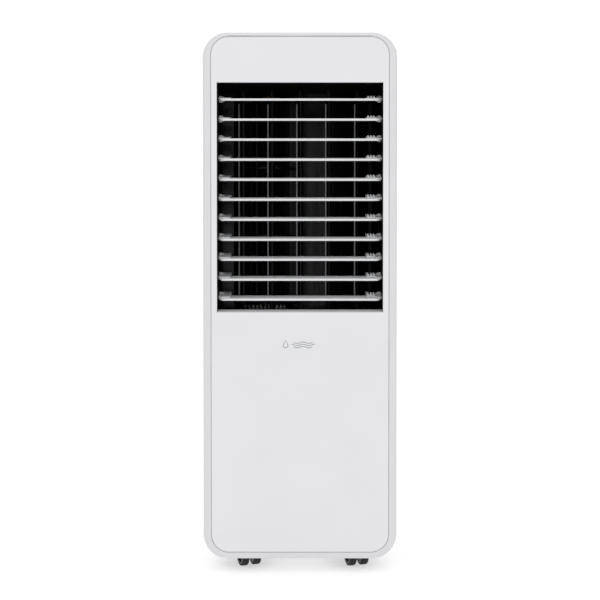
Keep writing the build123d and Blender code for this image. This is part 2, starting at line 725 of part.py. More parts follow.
# Control board under the overlay, and power board in its box
board_z = height - overlay_t - 2 - 9
with BuildPart() as circuit_boards:
    extrude(flat(overlay_w - 22, overlay_d - 20, board_z, 0, overlay_y, 2), amount=1.6)
    for sx in (-1, 1):
        for sy in (-1, 1):
            disc(upward(sx * (overlay_w / 2 - 16), overlay_y + sy * (overlay_d / 2 - 14), board_z), 3, 9)
    block(-22, 22, overlay_y - 9, overlay_y + 9, board_z + 1.6, board_z + 8)
    for i in range(6):
        disc(upward(-66 + i * 10 + (72 if i > 2 else 0), overlay_y - 2, board_z + 1.6), 3, 6.5)
    board_x = (box_x0 + box_x1) / 2
    board_y = box_y0 + box_d / 2
    extrude(flat(box_w - 8, box_d - 8, box_z0 + 6, board_x, board_y), amount=1.6)
    for sx in (-1, 1):
        for sy in (-1, 1):
            disc(upward(board_x + sx * 39, board_y + sy * 32, box_z0 + 2), 2.5, 4)
    part_z = box_z0 + 7.6
    block(board_x - 33, board_x - 5, board_y - 26, board_y - 2, part_z, part_z + 16.4)
    for i in range(3):
        disc(upward(board_x + 9 + i * 12, board_y - 16, part_z), 4.5, 14)
    block(board_x + 5, board_x + 39, board_y + 16, board_y + 28, part_z, part_z + 10.4)
save(circuit_boards, "circuit_boards")

# Water tank: open tub with an outlet spigot, a float rod and a drain hole
spigot_z = tank_base + spigot_up
plug_z = tank_base + 14.0
gauge_y = tank_y1 - 15.0
pull_w = 100.0
pull_h = 34.0
pull_deep = 24.0
with BuildPart() as water_tank:
    block(-tank_w / 2, tank_w / 2, tank_y0, tank_y1, tank_base, tank_top, 10)
    block(-tank_w / 2 + wall, tank_w / 2 - wall, tank_y0 + wall, tank_y1 - wall, tank_base + wall,
          tank_top, 7.5, mode=Mode.SUBTRACT)
    disc(forward(0, tank_y0 + 1, spigot_z), spigot_r, 13)
    disc(forward(0, tank_y0 + wall + 1, spigot_z), spigot_r - 3, 17, Mode.SUBTRACT)
    disc(upward(gauge_x, gauge_y, tank_base + wall), rod_r, tank_h - 20)
    disc(rearward(plug_x, tank_y1 - wall - 1, plug_z), plug_r + slip, wall + 2, Mode.SUBTRACT)
    block(-pull_w / 2 - 3, pull_w / 2 + 3, tank_y1 - wall - 1, tank_y1 + 1, tank_top - pull_h, tank_top + 1,
          mode=Mode.SUBTRACT)
save(water_tank, "water_tank")

gauge_w = 14.0
gauge_h = tank_h - 52.0
gauge_z = tank_base + wall + 10 + gauge_h / 2
cover_z0 = tank_base - 4
cover_z1 = tank_top + 8
with BuildPart() as tank_cover:
    slab(tank_y1, back_y, tank_w + 4 - 2 * slip, cover_z1 - cover_z0, (cover_z0 + cover_z1) / 2, 6 - slip)
    fillet(tank_cover.faces().sort_by(Axis.Y)[-1].edges(), 1.5)
    slab(tank_y1 - pull_deep + cover_t, tank_y1, pull_w, pull_h + 2, tank_top - pull_h / 2 + 3, 5)
    slab(tank_y1 - pull_deep + cover_t + 2, back_y + 1, pull_w - 4, pull_h - 2, tank_top - pull_h / 2 + 3, 4,
         mode=Mode.SUBTRACT)
    slab(tank_y1 - 1, back_y + 1, gauge_w, gauge_h, gauge_z, gauge_w / 2 - 0.1, gauge_x, mode=Mode.SUBTRACT)
    disc(rearward(plug_x, back_y - 4, plug_z), 12.5, 6, Mode.SUBTRACT)
    disc(rearward(plug_x, tank_y1 - 1, plug_z), plug_r + slip, 10, Mode.SUBTRACT)
save(tank_cover, "tank_cover")

with BuildPart() as level_window:
    slab(tank_y1, back_y - 1, gauge_w - 0.2, gauge_h - 0.2, gauge_z, gauge_w / 2 - 0.3, gauge_x)
save(level_window, "level_window")

with BuildPart() as level_float:
    disc(upward(gauge_x, gauge_y, tank_base + wall + 1), float_r, float_h)
    disc(upward(gauge_x, gauge_y, tank_base + wall), rod_r + slip, float_h + 2, Mode.SUBTRACT)
save(level_float, "level_float")

with BuildPart() as drain_plug:
    disc(rearward(plug_x, tank_y1 - wall - 5, plug_z), plug_r, wall + 9)
    disc(rearward(plug_x, back_y - 4, plug_z), 11, 3)
    slab(back_y - 1, back_y, 5, 14, plug_z, 2, plug_x)
save(drain_plug, "drain_plug")

# Pump chamber in front of the tank, its seal, the pump and the hose
with BuildPart() as pump_chamber:
    block(-chamber_w / 2, chamber_w / 2, chamber_y0, chamber_y1, tank_base, tank_top - 6, 8)
    block(-chamber_w / 2 + wall, chamber_w / 2 - wall, chamber_y0 + wall, chamber_y1 - wall,
          tank_base + wall, tank_top, 5.5, mode=Mode.SUBTRACT)
    disc(forward(0, chamber_y1 + 1, spigot_z), spigot_r + slip, wall + 2, Mode.SUBTRACT)
save(pump_chamber, "pump_chamber")

with BuildPart() as chamber_seal:
    disc(forward(0, chamber_y1 - wall, spigot_z), spigot_r + 3, 2.5)
    disc(forward(0, chamber_y1, spigot_z), spigot_r + fit_gap, 8, Mode.SUBTRACT)
save(chamber_seal, "chamber_seal")

pump_y = chamber_y0 + wall + 4 + pump_r
pump_z = tank_base + wall
spout_x = 9.0
with BuildPart() as water_pump:
    disc(upward(0, pump_y, pump_z), pump_r + 2, 12)
    disc(upward(0, pump_y, pump_z + 12), pump_r, pump_h - 12)
    disc(upward(spout_x, pump_y, pump_z + pump_h), hose_bore, 16)
save(water_pump, "water_pump")

tray_y0 = pad_y1 - pad_t - 6
tray_y1 = pad_y1 + 3
tray_z = cassette_top + 2
tray_h = 24.0
nipple_x = cassette_w / 2 - 38.0
nipple_y = (tray_y0 + tray_y1) / 2
hose_low = pump_z + pump_h + 1.0
hose_turn = tank_top + 44.0
hose_top = tray_z + tray_h + 28.0
hose_points = [
    (spout_x, pump_y, hose_low),
    (spout_x, pump_y, hose_turn),
    (hose_x, hose_y, hose_turn + 18),
    (hose_x, hose_y, hose_top),
    (nipple_x, nipple_y, hose_top),
    (nipple_x, nipple_y, tray_z + tray_h + 2.8),
]
with BuildPart() as pump_hose:
    with BuildLine() as route:
        FilletPolyline(*hose_points, radius=[26, 26, 22, 13])
    with BuildSketch(Plane(origin=hose_points[0], z_dir=(0, 0, 1))):
        Circle(hose_r)
    sweep(path=route.line)
    with BuildSketch(Plane(origin=hose_points[0], z_dir=(0, 0, 1))):
        Circle(hose_bore + fit_gap)
    sweep(path=route.line, mode=Mode.SUBTRACT)
save(pump_hose, "pump_hose")

# Trough over the pad, its lid with the hose nipple, and the drip tray under the pad
with BuildPart() as water_trough:
    block(-cassette_w / 2, cassette_w / 2, tray_y0, tray_y1, tray_z, tray_z + tray_h, 4)
    block(-cassette_w / 2 + 2, cassette_w / 2 - 2, tray_y0 + 2, tray_y1 - 2, tray_z + 2, tray_z + tray_h, 3,
          mode=Mode.SUBTRACT)
    with BuildSketch(Plane.XY.offset(tray_z - 1)):
        with Locations((0, nipple_y)):
            with GridLocations(15, 18, 15, 2):
                Circle(1.6)
    extrude(amount=5, mode=Mode.SUBTRACT)
    lid_z = tray_z + tray_h + shell_seam
    block(-cassette_w / 2, cassette_w / 2, tray_y0, tray_y1, lid_z, lid_z + 2, 4)
    disc(upward(nipple_x, nipple_y, lid_z), hose_bore, 12)
    disc(upward(nipple_x, nipple_y, lid_z - shell_seam / 2), hose_bore - 1.2, 15, Mode.SUBTRACT)
save(water_trough, "water_trough")

drip_z = tank_top + 16.0
drip_h = cassette_base - drip_z - 3
with BuildPart() as drip_tray:
    block(-cassette_w / 2, cassette_w / 2, tray_y0, back_y - wall - 16, drip_z, drip_z + drip_h, 4)
    block(-cassette_w / 2 + 2, cassette_w / 2 - 2, tray_y0 + 2, back_y - wall - 18, drip_z + 2,
          drip_z + drip_h, 3, mode=Mode.SUBTRACT)
    block(-60, 60, nipple_y - 8, nipple_y + 8, drip_z - 1, drip_z + 4, 6, mode=Mode.SUBTRACT)
save(drip_tray, "drip_tray")

# Filter cassette: grille, dust filter, pad frame and pad
grille_z0 = cassette_base
grille_z1 = cassette_top + 8
grille_mid = (grille_z0 + grille_z1) / 2
grille_h = grille_z1 - grille_z0
border = 14.0
slats = int((grille_h - 2 * border) / slat_pitch)
with BuildPart() as inlet_grille:
    slab(back_y - grille_t, back_y, cassette_w + 2, grille_h, grille_mid, 5)
    fillet(inlet_grille.faces().sort_by(Axis.Y)[-1].edges(), 1.5)
    slab(back_y - grille_t - 1, back_y + 1, cassette_w - 2 * border, grille_h - 2 * border, grille_mid, 3,
         mode=Mode.SUBTRACT)
    for i in range(slats):
        z = grille_mid + (i - (slats - 1) / 2) * slat_pitch
        slab(back_y - grille_t + 1, back_y - 1, cassette_w - 2 * border + 2, slat_t, z)
    for x in (-cassette_w / 4, 0, cassette_w / 4):
        slab(back_y - grille_t + 1, back_y - 3, 4, grille_h - 2 * border + 2, grille_mid, x=x)
save(inlet_grille, "inlet_grille")

filter_y1 = back_y - grille_t
with BuildPart() as dust_filter:
    slab(filter_y1 - filter_t, filter_y1, cassette_w - 8, grille_h - 10, grille_mid, 4)
    slab(filter_y1 - filter_t - 1, filter_y1 - 2.6, cassette_w - 20, grille_h - 22, grille_mid, 2,
         mode=Mode.SUBTRACT)
    slab(filter_y1 - 1.2, filter_y1 + 1, cassette_w - 20, grille_h - 22, grille_mid, 2, mode=Mode.SUBTRACT)
save(dust_filter, "dust_filter")

frame_mid = (cassette_base + cassette_top) / 2
with BuildPart() as pad_frame:
    slab(frame_y0, frame_y1, cassette_w, cassette_top - cassette_base, frame_mid, 3)
    slab(frame_y0 + wall, frame_y1 + 1, cassette_w - 2 * wall, pad_h, frame_mid, mode=Mode.SUBTRACT)
    slab(frame_y0 - 1, frame_y0 + wall + 1, cassette_w - 24, pad_h - 20, frame_mid, 6, mode=Mode.SUBTRACT)
    for z in (frame_mid - pad_h / 4, frame_mid, frame_mid + pad_h / 4):
        slab(frame_y0, frame_y0 + wall, cassette_w - 22, 4, z)
save(pad_frame, "pad_frame")

with BuildPart() as cooling_pad:
    slab(frame_y0 + wall, frame_y0 + wall + pad_t, cassette_w - 2 * wall - 1, pad_h - 1, frame_mid)
save(cooling_pad, "cooling_pad")


# Castors: swivelling fork with its stem, and a pair of wheels on one axle
def castor(tag, x, y, turn):
    a = math.radians(turn)
    across = (math.cos(a), math.sin(a), 0)
    rear = (-math.sin(a), math.cos(a), 0)
    side_view = Plane(origin=(x, y, 0), x_dir=rear, z_dir=across)
    hub_plane = Plane(origin=(x + trail * rear[0], y + trail * rear[1], wheel_r), x_dir=rear, z_dir=across)
    hood_r = wheel_r + hood_in + hood_t
    half = wheel_in + wheel_w
    with BuildPart() as fork:
        with BuildSketch(side_view.offset(-web_t / 2)):
            with Locations((trail, wheel_r)):
                Circle(8)
            with Locations((0, wheel_r + hood_r - 3)):
                Circle(5)
            with Locations((trail, wheel_r + hood_r - 4)):
                Circle(3.5)
            make_hull()
        extrude(amount=web_t)
        with BuildSketch(side_view.offset(-half)):
            with BuildLine():
                arc = CenterArc((trail, wheel_r), wheel_r + hood_in + hood_t / 2, 30, 126)
            trace(arc, line_width=hood_t)
        extrude(amount=2 * half)
        disc(upward(x, y, wheel_r + hood_r - 2), 9, 3.4)
        disc(upward(x, y, wheel_r + hood_r - 2), stem_r, well_top + socket_h - wheel_r - hood_r)
        disc(hub_plane.offset(-half), axle_r + fit_gap, 2 * half, Mode.SUBTRACT)
    save(fork, "castor_fork_" + tag)
    with BuildPart() as wheels:
        for side in (-1, 1):
            disc(hub_plane.offset(side * wheel_in), wheel_r, side * wheel_w)
            disc(hub_plane.offset(side * (wheel_in + wheel_w - 2)), wheel_r * 0.62, side * 3, Mode.SUBTRACT)
            disc(hub_plane.offset(side * (wheel_in + wheel_w - 2)), 5, side * 1.4)
        disc(hub_plane.offset(-half + 1), axle_r, 2 * half - 2)
        fillet(wheels.edges().filter_by(GeomType.CIRCLE).group_by(SortBy.RADIUS)[-1], 1.6)
    save(wheels, "castor_wheels_" + tag)


for tag, place in castors.items():
    castor(tag, place[0], place[1], castor_turn[tag])
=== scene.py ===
import bpy
import bmesh
import json
import math
from mathutils import Matrix, Vector


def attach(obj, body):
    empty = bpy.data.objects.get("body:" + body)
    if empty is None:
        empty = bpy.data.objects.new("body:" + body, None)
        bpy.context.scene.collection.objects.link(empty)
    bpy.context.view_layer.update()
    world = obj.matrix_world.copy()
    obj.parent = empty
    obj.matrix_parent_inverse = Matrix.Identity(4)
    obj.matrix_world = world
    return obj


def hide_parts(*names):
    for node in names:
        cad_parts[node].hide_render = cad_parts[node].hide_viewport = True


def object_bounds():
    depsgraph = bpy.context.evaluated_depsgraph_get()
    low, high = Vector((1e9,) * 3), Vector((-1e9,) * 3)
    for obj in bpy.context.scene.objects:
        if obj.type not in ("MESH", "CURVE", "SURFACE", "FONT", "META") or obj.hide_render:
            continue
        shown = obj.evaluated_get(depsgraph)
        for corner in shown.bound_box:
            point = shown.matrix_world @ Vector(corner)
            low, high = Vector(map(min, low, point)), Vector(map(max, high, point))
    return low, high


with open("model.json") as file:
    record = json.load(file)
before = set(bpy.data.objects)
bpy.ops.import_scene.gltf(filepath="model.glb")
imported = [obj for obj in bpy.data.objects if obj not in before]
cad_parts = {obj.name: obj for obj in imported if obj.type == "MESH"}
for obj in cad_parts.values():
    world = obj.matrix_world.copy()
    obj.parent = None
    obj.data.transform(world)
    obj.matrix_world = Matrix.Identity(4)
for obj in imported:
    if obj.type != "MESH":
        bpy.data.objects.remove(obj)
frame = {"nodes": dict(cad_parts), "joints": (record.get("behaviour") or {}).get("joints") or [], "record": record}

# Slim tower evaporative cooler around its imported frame: metres, +Z up, front towards -Y
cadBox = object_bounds()
nodes = frame["nodes"]
bodyOf = {node: body for body, members in frame["record"]["behaviour"]["bodies"].items() for node in members}
joints = {joint["name"]: joint for joint in frame["joints"]}
mm = 0.001


# ---- small helpers

def linearColour(hexText):
    # sRGB hex to the linear values that shaders take
    parts = [int(hexText[i:i + 2], 16) / 255 for i in (1, 3, 5)]
    return tuple(c / 12.92 if c <= 0.04045 else ((c + 0.055) / 1.055) ** 2.4 for c in parts) + (1.0,)


def addNode(tree, kind, props=None, inputs=None):
    # one shader node with its settings; an input is a value or another node's socket
    made = tree.nodes.new(kind)
    for key, value in (props or {}).items():
        setattr(made, key, value)
    for key, value in (inputs or {}).items():
        if isinstance(value, bpy.types.NodeSocket):
            tree.links.new(value, made.inputs[key])
        else:
            made.inputs[key].default_value = value
    return made


def newMaterial(name):
    made = bpy.data.materials.new(name)
    made.use_nodes = True
    made.node_tree.nodes.clear()
    tree = made.node_tree
    coords = addNode(tree, "ShaderNodeTexCoord").outputs["Object"]
    return made, tree, coords


def closeMaterial(tree, shader):
    out = addNode(tree, "ShaderNodeOutputMaterial")
    tree.links.new(shader.outputs[0], out.inputs["Surface"])


def perMetre(sizeMm):
    # noise scale that gives features of this size
    return 1.0 / (sizeMm * mm)


def finishPiece(name, shape, finish, body, smoothDeg=35):
    mesh = bpy.data.meshes.new(name)
    shape.to_mesh(mesh)
    shape.free()
    piece = bpy.data.objects.new(name, mesh)
    bpy.context.scene.collection.objects.link(piece)
    mesh.materials.clear()
    mesh.materials.append(finish)
    for face in mesh.polygons:
        face.use_smooth = True
        face.material_index = 0
    mesh.set_sharp_from_angle(angle=math.radians(smoothDeg))
    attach(piece, body)
    return piece


def roundEdges(piece, widthMm, sharpDeg=32, segments=2):
    # small moulding radius on every hard edge
    edge = piece.modifiers.new("moulded_radius", "BEVEL")
    edge.limit_method = "ANGLE"
    edge.angle_limit = math.radians(sharpDeg)
    edge.width = widthMm * mm
    edge.segments = segments
    edge.profile = 0.5
    edge.use_clamp_overlap = True
    edge.harden_normals = True


def mergedCopy(node):
    # the node's own shape with its loose triangles joined up
    shape = bmesh.new()
    shape.from_mesh(nodes[node].data)
    bmesh.ops.remove_doubles(shape, verts=shape.verts, dist=2e-6)
    bmesh.ops.dissolve_limit(shape, angle_limit=math.radians(0.6), verts=shape.verts, edges=shape.edges)
    return shape


def refine(node, finish, edgeMm=0.4, sharpDeg=32, shift=(0, 0, 0)):
    # stands in for a node whose shape is right but whose edges need their moulding radius
    shape = mergedCopy(node)
    bmesh.ops.translate(shape, verts=shape.verts, vec=Vector(shift) * mm)
    piece = finishPiece(node + "_body", shape, finish, bodyOf[node])
    if edgeMm > 0:
        roundEdges(piece, edgeMm, sharpDeg)
    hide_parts(node)
    return piece


def paint(node, finish):
    mesh = nodes[node].data
    mesh.materials.clear()
    mesh.materials.append(finish)
    for face in mesh.polygons:
        face.material_index = 0


# ---- finishes

# a noise factor hardly leaves this band, so it is what gets stretched over a setting's range
noiseLow, noiseHigh = 0.3, 0.7
# cosine between the rounded and the plain normal: edge fully marked with wear or painted highlight, untouched face
fullEdgeMark, plainFace = 0.93, 0.99
# spread of a metal's roughness either side of its setting
metalSpread = 0.1


def mouldedPlastic(name, s):
    # thermoplastic from a textured mould: broad tone drift, fine spark-eroded grain, a second colour near edges:
    # real scuffs and dust on the dark parts, a painted highlight on the white louvres
    made, tree, coords = newMaterial(name)
    drift = addNode(tree, "ShaderNodeTexNoise", None,
                    {"Vector": coords, "Scale": perMetre(s["driftMm"]), "Detail": 3.0, "Roughness": 0.5})
    tone = addNode(tree, "ShaderNodeMix", {"data_type": "RGBA"},
                   {"Factor": drift.outputs["Fac"], "A": linearColour(s["low"]),
                    "B": linearColour(s["high"])})
    grain = addNode(tree, "ShaderNodeTexNoise", None,
                    {"Vector": coords, "Scale": perMetre(s["grainMm"]), "Detail": 4.0, "Roughness": 0.6})
    wipe = addNode(tree, "ShaderNodeTexNoise", None,
                   {"Vector": coords, "Scale": perMetre(s["wipeMm"]), "Detail": 6.0, "Roughness": 0.65})
    polish = addNode(tree, "ShaderNodeMapRange", None,
                     {"Value": wipe.outputs["Fac"], "From Min": noiseLow, "From Max": noiseHigh,
                      "To Min": s["rough"] - s["roughSpread"], "To Max": s["rough"] + s["roughSpread"]})
    bump = addNode(tree, "ShaderNodeBump", None,
                   {"Height": grain.outputs["Fac"], "Strength": s["grainStrength"],
                    "Distance": s["grainDeep"] * mm})
    colour = tone.outputs["Result"]
    # edge mask: real wear on the dark finishes, a painted highlight on the white louvres
    if s.get("wearAndHighlight"):
        rounded = addNode(tree, "ShaderNodeBevel", {"samples": 4}, {"Radius": s["wearAndHighlightMm"] * mm})
        plain = addNode(tree, "ShaderNodeNewGeometry")
        turn = addNode(tree, "ShaderNodeVectorMath", {"operation": "DOT_PRODUCT"},
                       {0: rounded.outputs["Normal"], 1: plain.outputs["Normal"]})
        atEdge = addNode(tree, "ShaderNodeMapRange", None,
                         {"Value": turn.outputs["Value"], "From Min": fullEdgeMark, "From Max": plainFace,
                          "To Min": s["wearAndHighlight"], "To Max": 0.0})
        patchy = addNode(tree, "ShaderNodeMath", {"operation": "MULTIPLY"},
                         {0: atEdge.outputs["Result"], 1: wipe.outputs["Fac"]})
        wearAndHighlightMix = addNode(tree, "ShaderNodeMix", {"data_type": "RGBA"},
                       {"Factor": patchy.outputs["Value"], "A": colour, "B": linearColour(s["wearAndHighlightColour"])})
        colour = wearAndHighlightMix.outputs["Result"]
    shader = addNode(tree, "ShaderNodeBsdfPrincipled", None,
                     {"Base Color": colour, "Roughness": polish.outputs["Result"],
                      "Normal": bump.outputs["Normal"], "IOR": s["ior"],
                      "Specular IOR Level": s.get("shine", 0.5)})
    closeMaterial(tree, shader)
    return made


# polished white ABS: even and satin, with a soft orange peel that only shows in the highlights
panelWhite = mouldedPlastic("absPolishedWhite", {
    "low": "#dcdcde", "high": "#e2e2e4", "driftMm": 90, "grainMm": 2.2, "grainDeep": 0.05,
    "grainStrength": 0.12, "wipeMm": 35, "rough": 0.34, "roughSpread": 0.05, "ior": 1.53})
# ABS from a spark-eroded mould: the cabinet's shells, a little duller than the panel
shellWhite = mouldedPlastic("absSatinWhite", {
    "low": "#d3d3d5", "high": "#d9d9db", "driftMm": 70, "grainMm": 0.9, "grainDeep": 0.06,
    "grainStrength": 0.2, "wipeMm": 28, "rough": 0.44, "roughSpread": 0.06, "ior": 1.53, "wearAndHighlight": 0.2,
    "wearAndHighlightMm": 0.8, "wearAndHighlightColour": "#e4e4e5"})
# ABS louvres, slightly grey under the gloss, with a painted highlight along their edges
louvreWhite = mouldedPlastic("absSatinSilverWhite", {
    "low": "#d6d7d9", "high": "#dfe0e1", "driftMm": 24, "grainMm": 0.7, "grainDeep": 0.04,
    "grainStrength": 0.16, "wipeMm": 12, "rough": 0.36, "roughSpread": 0.07, "ior": 1.53, "wearAndHighlight": 0.3,
    "wearAndHighlightMm": 0.6, "wearAndHighlightColour": "#f2f2f2"})
# black polypropylene of the duct, dull so that the opening reads as a dark hollow
ductBlack = mouldedPlastic("polypropyleneMattBlack", {
    "low": "#050505", "high": "#09090a", "driftMm": 30, "grainMm": 0.8, "grainDeep": 0.08,
    "grainStrength": 0.25, "wipeMm": 14, "rough": 0.55, "roughSpread": 0.08, "ior": 1.49, "shine": 0.1})
# glass-filled vanes and link, with the faint flow marks of the filler
vaneBlack = mouldedPlastic("nylonFilledBlack", {
    "low": "#060607", "high": "#0b0b0c", "driftMm": 18, "grainMm": 0.6, "grainDeep": 0.06,
    "grainStrength": 0.3, "wipeMm": 9, "rough": 0.42, "roughSpread": 0.1, "ior": 1.53, "shine": 0.15,
    "wearAndHighlight": 0.15, "wearAndHighlightMm": 0.5, "wearAndHighlightColour": "#262627"})
# the same nylon painted mid grey on the front bead, as a painted highlight on the lit edge
vaneFrontHighlight = mouldedPlastic("nylonPaintedHighlightGrey", {
    "low": "#5c5d60", "high": "#77787b", "driftMm": 8, "grainMm": 0.5, "grainDeep": 0.05,
    "grainStrength": 0.3, "wipeMm": 6, "rough": 0.35, "roughSpread": 0.1, "ior": 1.53})
# high-gloss ABS of the scroll: mirror-like long vertical highlights
casingBlack = mouldedPlastic("absGlossBlack", {
    "low": "#040405", "high": "#08090a", "driftMm": 45, "grainMm": 6.0, "grainDeep": 0.05,
    "grainStrength": 0.15, "wipeMm": 20, "rough": 0.2, "roughSpread": 0.05, "ior": 1.54, "shine": 0.2})
# blower nylon: dull black blades with paler rubbed edges
drumBlack = mouldedPlastic("nylonBlowerBlack", {
    "low": "#070708", "high": "#0d0e0e", "driftMm": 16, "grainMm": 0.7, "grainDeep": 0.06,
    "grainStrength": 0.25, "wipeMm": 8, "rough": 0.4, "roughSpread": 0.1, "ior": 1.53, "shine": 0.2,
    "wearAndHighlight": 0.25, "wearAndHighlightMm": 0.5, "wearAndHighlightColour": "#2c2d2e"})
# leather-grained ABS of the hand cups: pale grey, no gloss
gripGrey = mouldedPlastic("absLeatheredGrey", {
    "low": "#c9cbcd", "high": "#d4d5d7", "driftMm": 22, "grainMm": 1.1, "grainDeep": 0.14,
    "grainStrength": 0.6, "wipeMm": 10, "rough": 0.55, "roughSpread": 0.08, "ior": 1.53})
# flame-retardant ABS: plain mid grey with a fine grain
boxGrey = mouldedPlastic("absFlameRetardantGrey", {
    "low": "#6b6d70", "high": "#787a7d", "driftMm": 26, "grainMm": 0.9, "grainDeep": 0.08,
    "grainStrength": 0.3, "wipeMm": 12, "rough": 0.5, "roughSpread": 0.08, "ior": 1.53})
# castor nylon: black with scuffed, dusty edges
wheelBlack = mouldedPlastic("nylonCastorBlack", {
    "low": "#0d0d0e", "high": "#171718", "driftMm": 10, "grainMm": 0.5, "grainDeep": 0.06,
    "grainStrength": 0.3, "wipeMm": 5, "rough": 0.4, "roughSpread": 0.12, "ior": 1.53, "wearAndHighlight": 0.5,
    "wearAndHighlightMm": 0.7, "wearAndHighlightColour": "#5a5855"})
# rubber running band: charcoal, dull, dusty where it meets the floor
treadGrey = mouldedPlastic("rubberTreadGrey", {
    "low": "#1d1d1e", "high": "#2b2a29", "driftMm": 7, "grainMm": 0.6, "grainDeep": 0.1,
    "grainStrength": 0.5, "wipeMm": 4, "rough": 0.75, "roughSpread": 0.1, "ior": 1.52, "shine": 0.3,
    "wearAndHighlight": 0.4, "wearAndHighlightMm": 0.6, "wearAndHighlightColour": "#6c6862"})
# moulded rubber of plug, seal and gland: soft black without gloss
rubberBlack = mouldedPlastic("rubberMouldedBlack", {
    "low": "#0f0f10", "high": "#1a1a1b", "driftMm": 9, "grainMm": 0.5, "grainDeep": 0.05,
    "grainStrength": 0.3, "wipeMm": 5, "rough": 0.65, "roughSpread": 0.1, "ior": 1.52, "shine": 0.3})
# pump case: blue-black ABS with a half-matt grain
pumpBlack = mouldedPlastic("absPumpBlack", {
    "low": "#101214", "high": "#1b1d20", "driftMm": 12, "grainMm": 0.6, "grainDeep": 0.05,
    "grainStrength": 0.25, "wipeMm": 8, "rough": 0.45, "roughSpread": 0.1, "ior": 1.53})
# float foam: signal red with a beaded skin
floatRed = mouldedPlastic("polystyreneFoamRed", {
    "low": "#b3261c", "high": "#cf382a", "driftMm": 6, "grainMm": 0.8, "grainDeep": 0.2,
    "grainStrength": 0.7, "wipeMm": 4, "rough": 0.6, "roughSpread": 0.1, "ior": 1.55})
# pad print: flat mid grey ink
markGrey = mouldedPlastic("inkPadPrintGrey", {
    "low": "#8f9295", "high": "#9da0a3", "driftMm": 5, "grainMm": 0.4, "grainDeep": 0.02,
    "grainStrength": 0.3, "wipeMm": 3, "rough": 0.45, "roughSpread": 0.05, "ior": 1.5})
# screen print: slightly cool white ink
iconWhite = mouldedPlastic("inkScreenPrintWhite", {
    "low": "#d5dadd", "high": "#eef1f2", "driftMm": 4, "grainMm": 0.3, "grainDeep": 0.02,
    "grainStrength": 0.3, "wipeMm": 3, "rough": 0.5, "roughSpread": 0.05, "ior": 1.5})
# acrylic strip: piano black, smooth, with faint wipe marks
overlayBlack = mouldedPlastic("acrylicPianoBlack", {
    "low": "#050506", "high": "#08080a", "driftMm": 60, "grainMm": 8.0, "grainDeep": 0.02,
    "grainStrength": 0.1, "wipeMm": 22, "rough": 0.16, "roughSpread": 0.05, "ior": 1.49, "shine": 0.3})


def clearPlastic(name, s):
    # see-through moulding: tinted, with frosting that varies and a faint flow ripple
    made, tree, coords = newMaterial(name)
    haze = addNode(tree, "ShaderNodeTexNoise", None,
                   {"Vector": coords, "Scale": perMetre(s["hazeMm"]), "Detail": 4.0})
    frost = addNode(tree, "ShaderNodeMapRange", None,
                    {"Value": haze.outputs["Fac"], "From Min": noiseLow, "From Max": noiseHigh,
                     "To Min": s["roughLow"], "To Max": s["roughHigh"]})
    tint = addNode(tree, "ShaderNodeMix", {"data_type": "RGBA"},
                   {"Factor": haze.outputs["Fac"], "A": linearColour(s["low"]), "B": linearColour(s["high"])})
    ripple = addNode(tree, "ShaderNodeBump", None,
                     {"Height": haze.outputs["Fac"], "Strength": 0.15, "Distance": 0.2 * mm})
    shader = addNode(tree, "ShaderNodeBsdfPrincipled", None,
                     {"Base Color": tint.outputs["Result"], "Roughness": frost.outputs["Result"],
                      "Normal": ripple.outputs["Normal"], "IOR": s["ior"],
                      "Transmission Weight": s["clear"]})
    closeMaterial(tree, shader)
    return made


# natural polypropylene: milky, lets the water line show as a shadow
tankMilky = clearPlastic("polypropyleneNatural", {
    "low": "#c9d6de", "high": "#dde6ea", "hazeMm": 22, "roughLow": 0.3, "roughHigh": 0.5, "ior": 1.49,
    "clear": 0.55})
# polycarbonate gauge strip: nearly clear with a cold tint
windowClear = clearPlastic("polycarbonateClear", {
    "low": "#cfdde4", "high": "#e3edf1", "hazeMm": 15, "roughLow": 0.05, "roughHigh": 0.12, "ior": 1.58,
    "clear": 0.9})
# silicone tube: cloudy and soft
hoseSilicone = clearPlastic("siliconeTubeCloudy", {
    "low": "#d9dad6", "high": "#e8e8e4", "hazeMm": 6, "roughLow": 0.35, "roughHigh": 0.5, "ior": 1.43,
    "clear": 0.35})


def workedMetal(name, s):
    # metal with brushed or rolled lines along one axis and darker oxide patches
    made, tree, coords = newMaterial(name)
    stretch = addNode(tree, "ShaderNodeMapping", None, {"Vector": coords, "Scale": s["stretch"]})
    lines = addNode(tree, "ShaderNodeTexNoise", None,
                    {"Vector": stretch.outputs["Vector"], "Scale": perMetre(s["lineMm"]), "Detail": 5.0})
    patches = addNode(tree, "ShaderNodeTexNoise", None,
                      {"Vector": coords, "Scale": perMetre(s["patchMm"]), "Detail": 4.0})
    colour = addNode(tree, "ShaderNodeMix", {"data_type": "RGBA"},
                     {"Factor": patches.outputs["Fac"], "A": linearColour(s["low"]),
                      "B": linearColour(s["high"])})
    rough = addNode(tree, "ShaderNodeMapRange", None,
                    {"Value": lines.outputs["Fac"], "From Min": noiseLow, "From Max": noiseHigh,
                     "To Min": s["rough"] - metalSpread, "To Max": s["rough"] + metalSpread})
    bump = addNode(tree, "ShaderNodeBump", None,
                   {"Height": lines.outputs["Fac"], "Strength": 0.25, "Distance": 0.05 * mm})
    shader = addNode(tree, "ShaderNodeBsdfPrincipled", None,
                     {"Base Color": colour.outputs["Result"], "Metallic": 1.0,
                      "Roughness": rough.outputs["Result"], "Normal": bump.outputs["Normal"]})
    closeMaterial(tree, shader)
    return made


# ground steel: bright, with fine lines round the shaft
shaftSteel = workedMetal("steelGround", {
    "low": "#9fa1a3", "high": "#c4c6c8", "stretch": (1, 1, 9), "lineMm": 0.6, "patchMm": 12,
    "rough": 0.28})
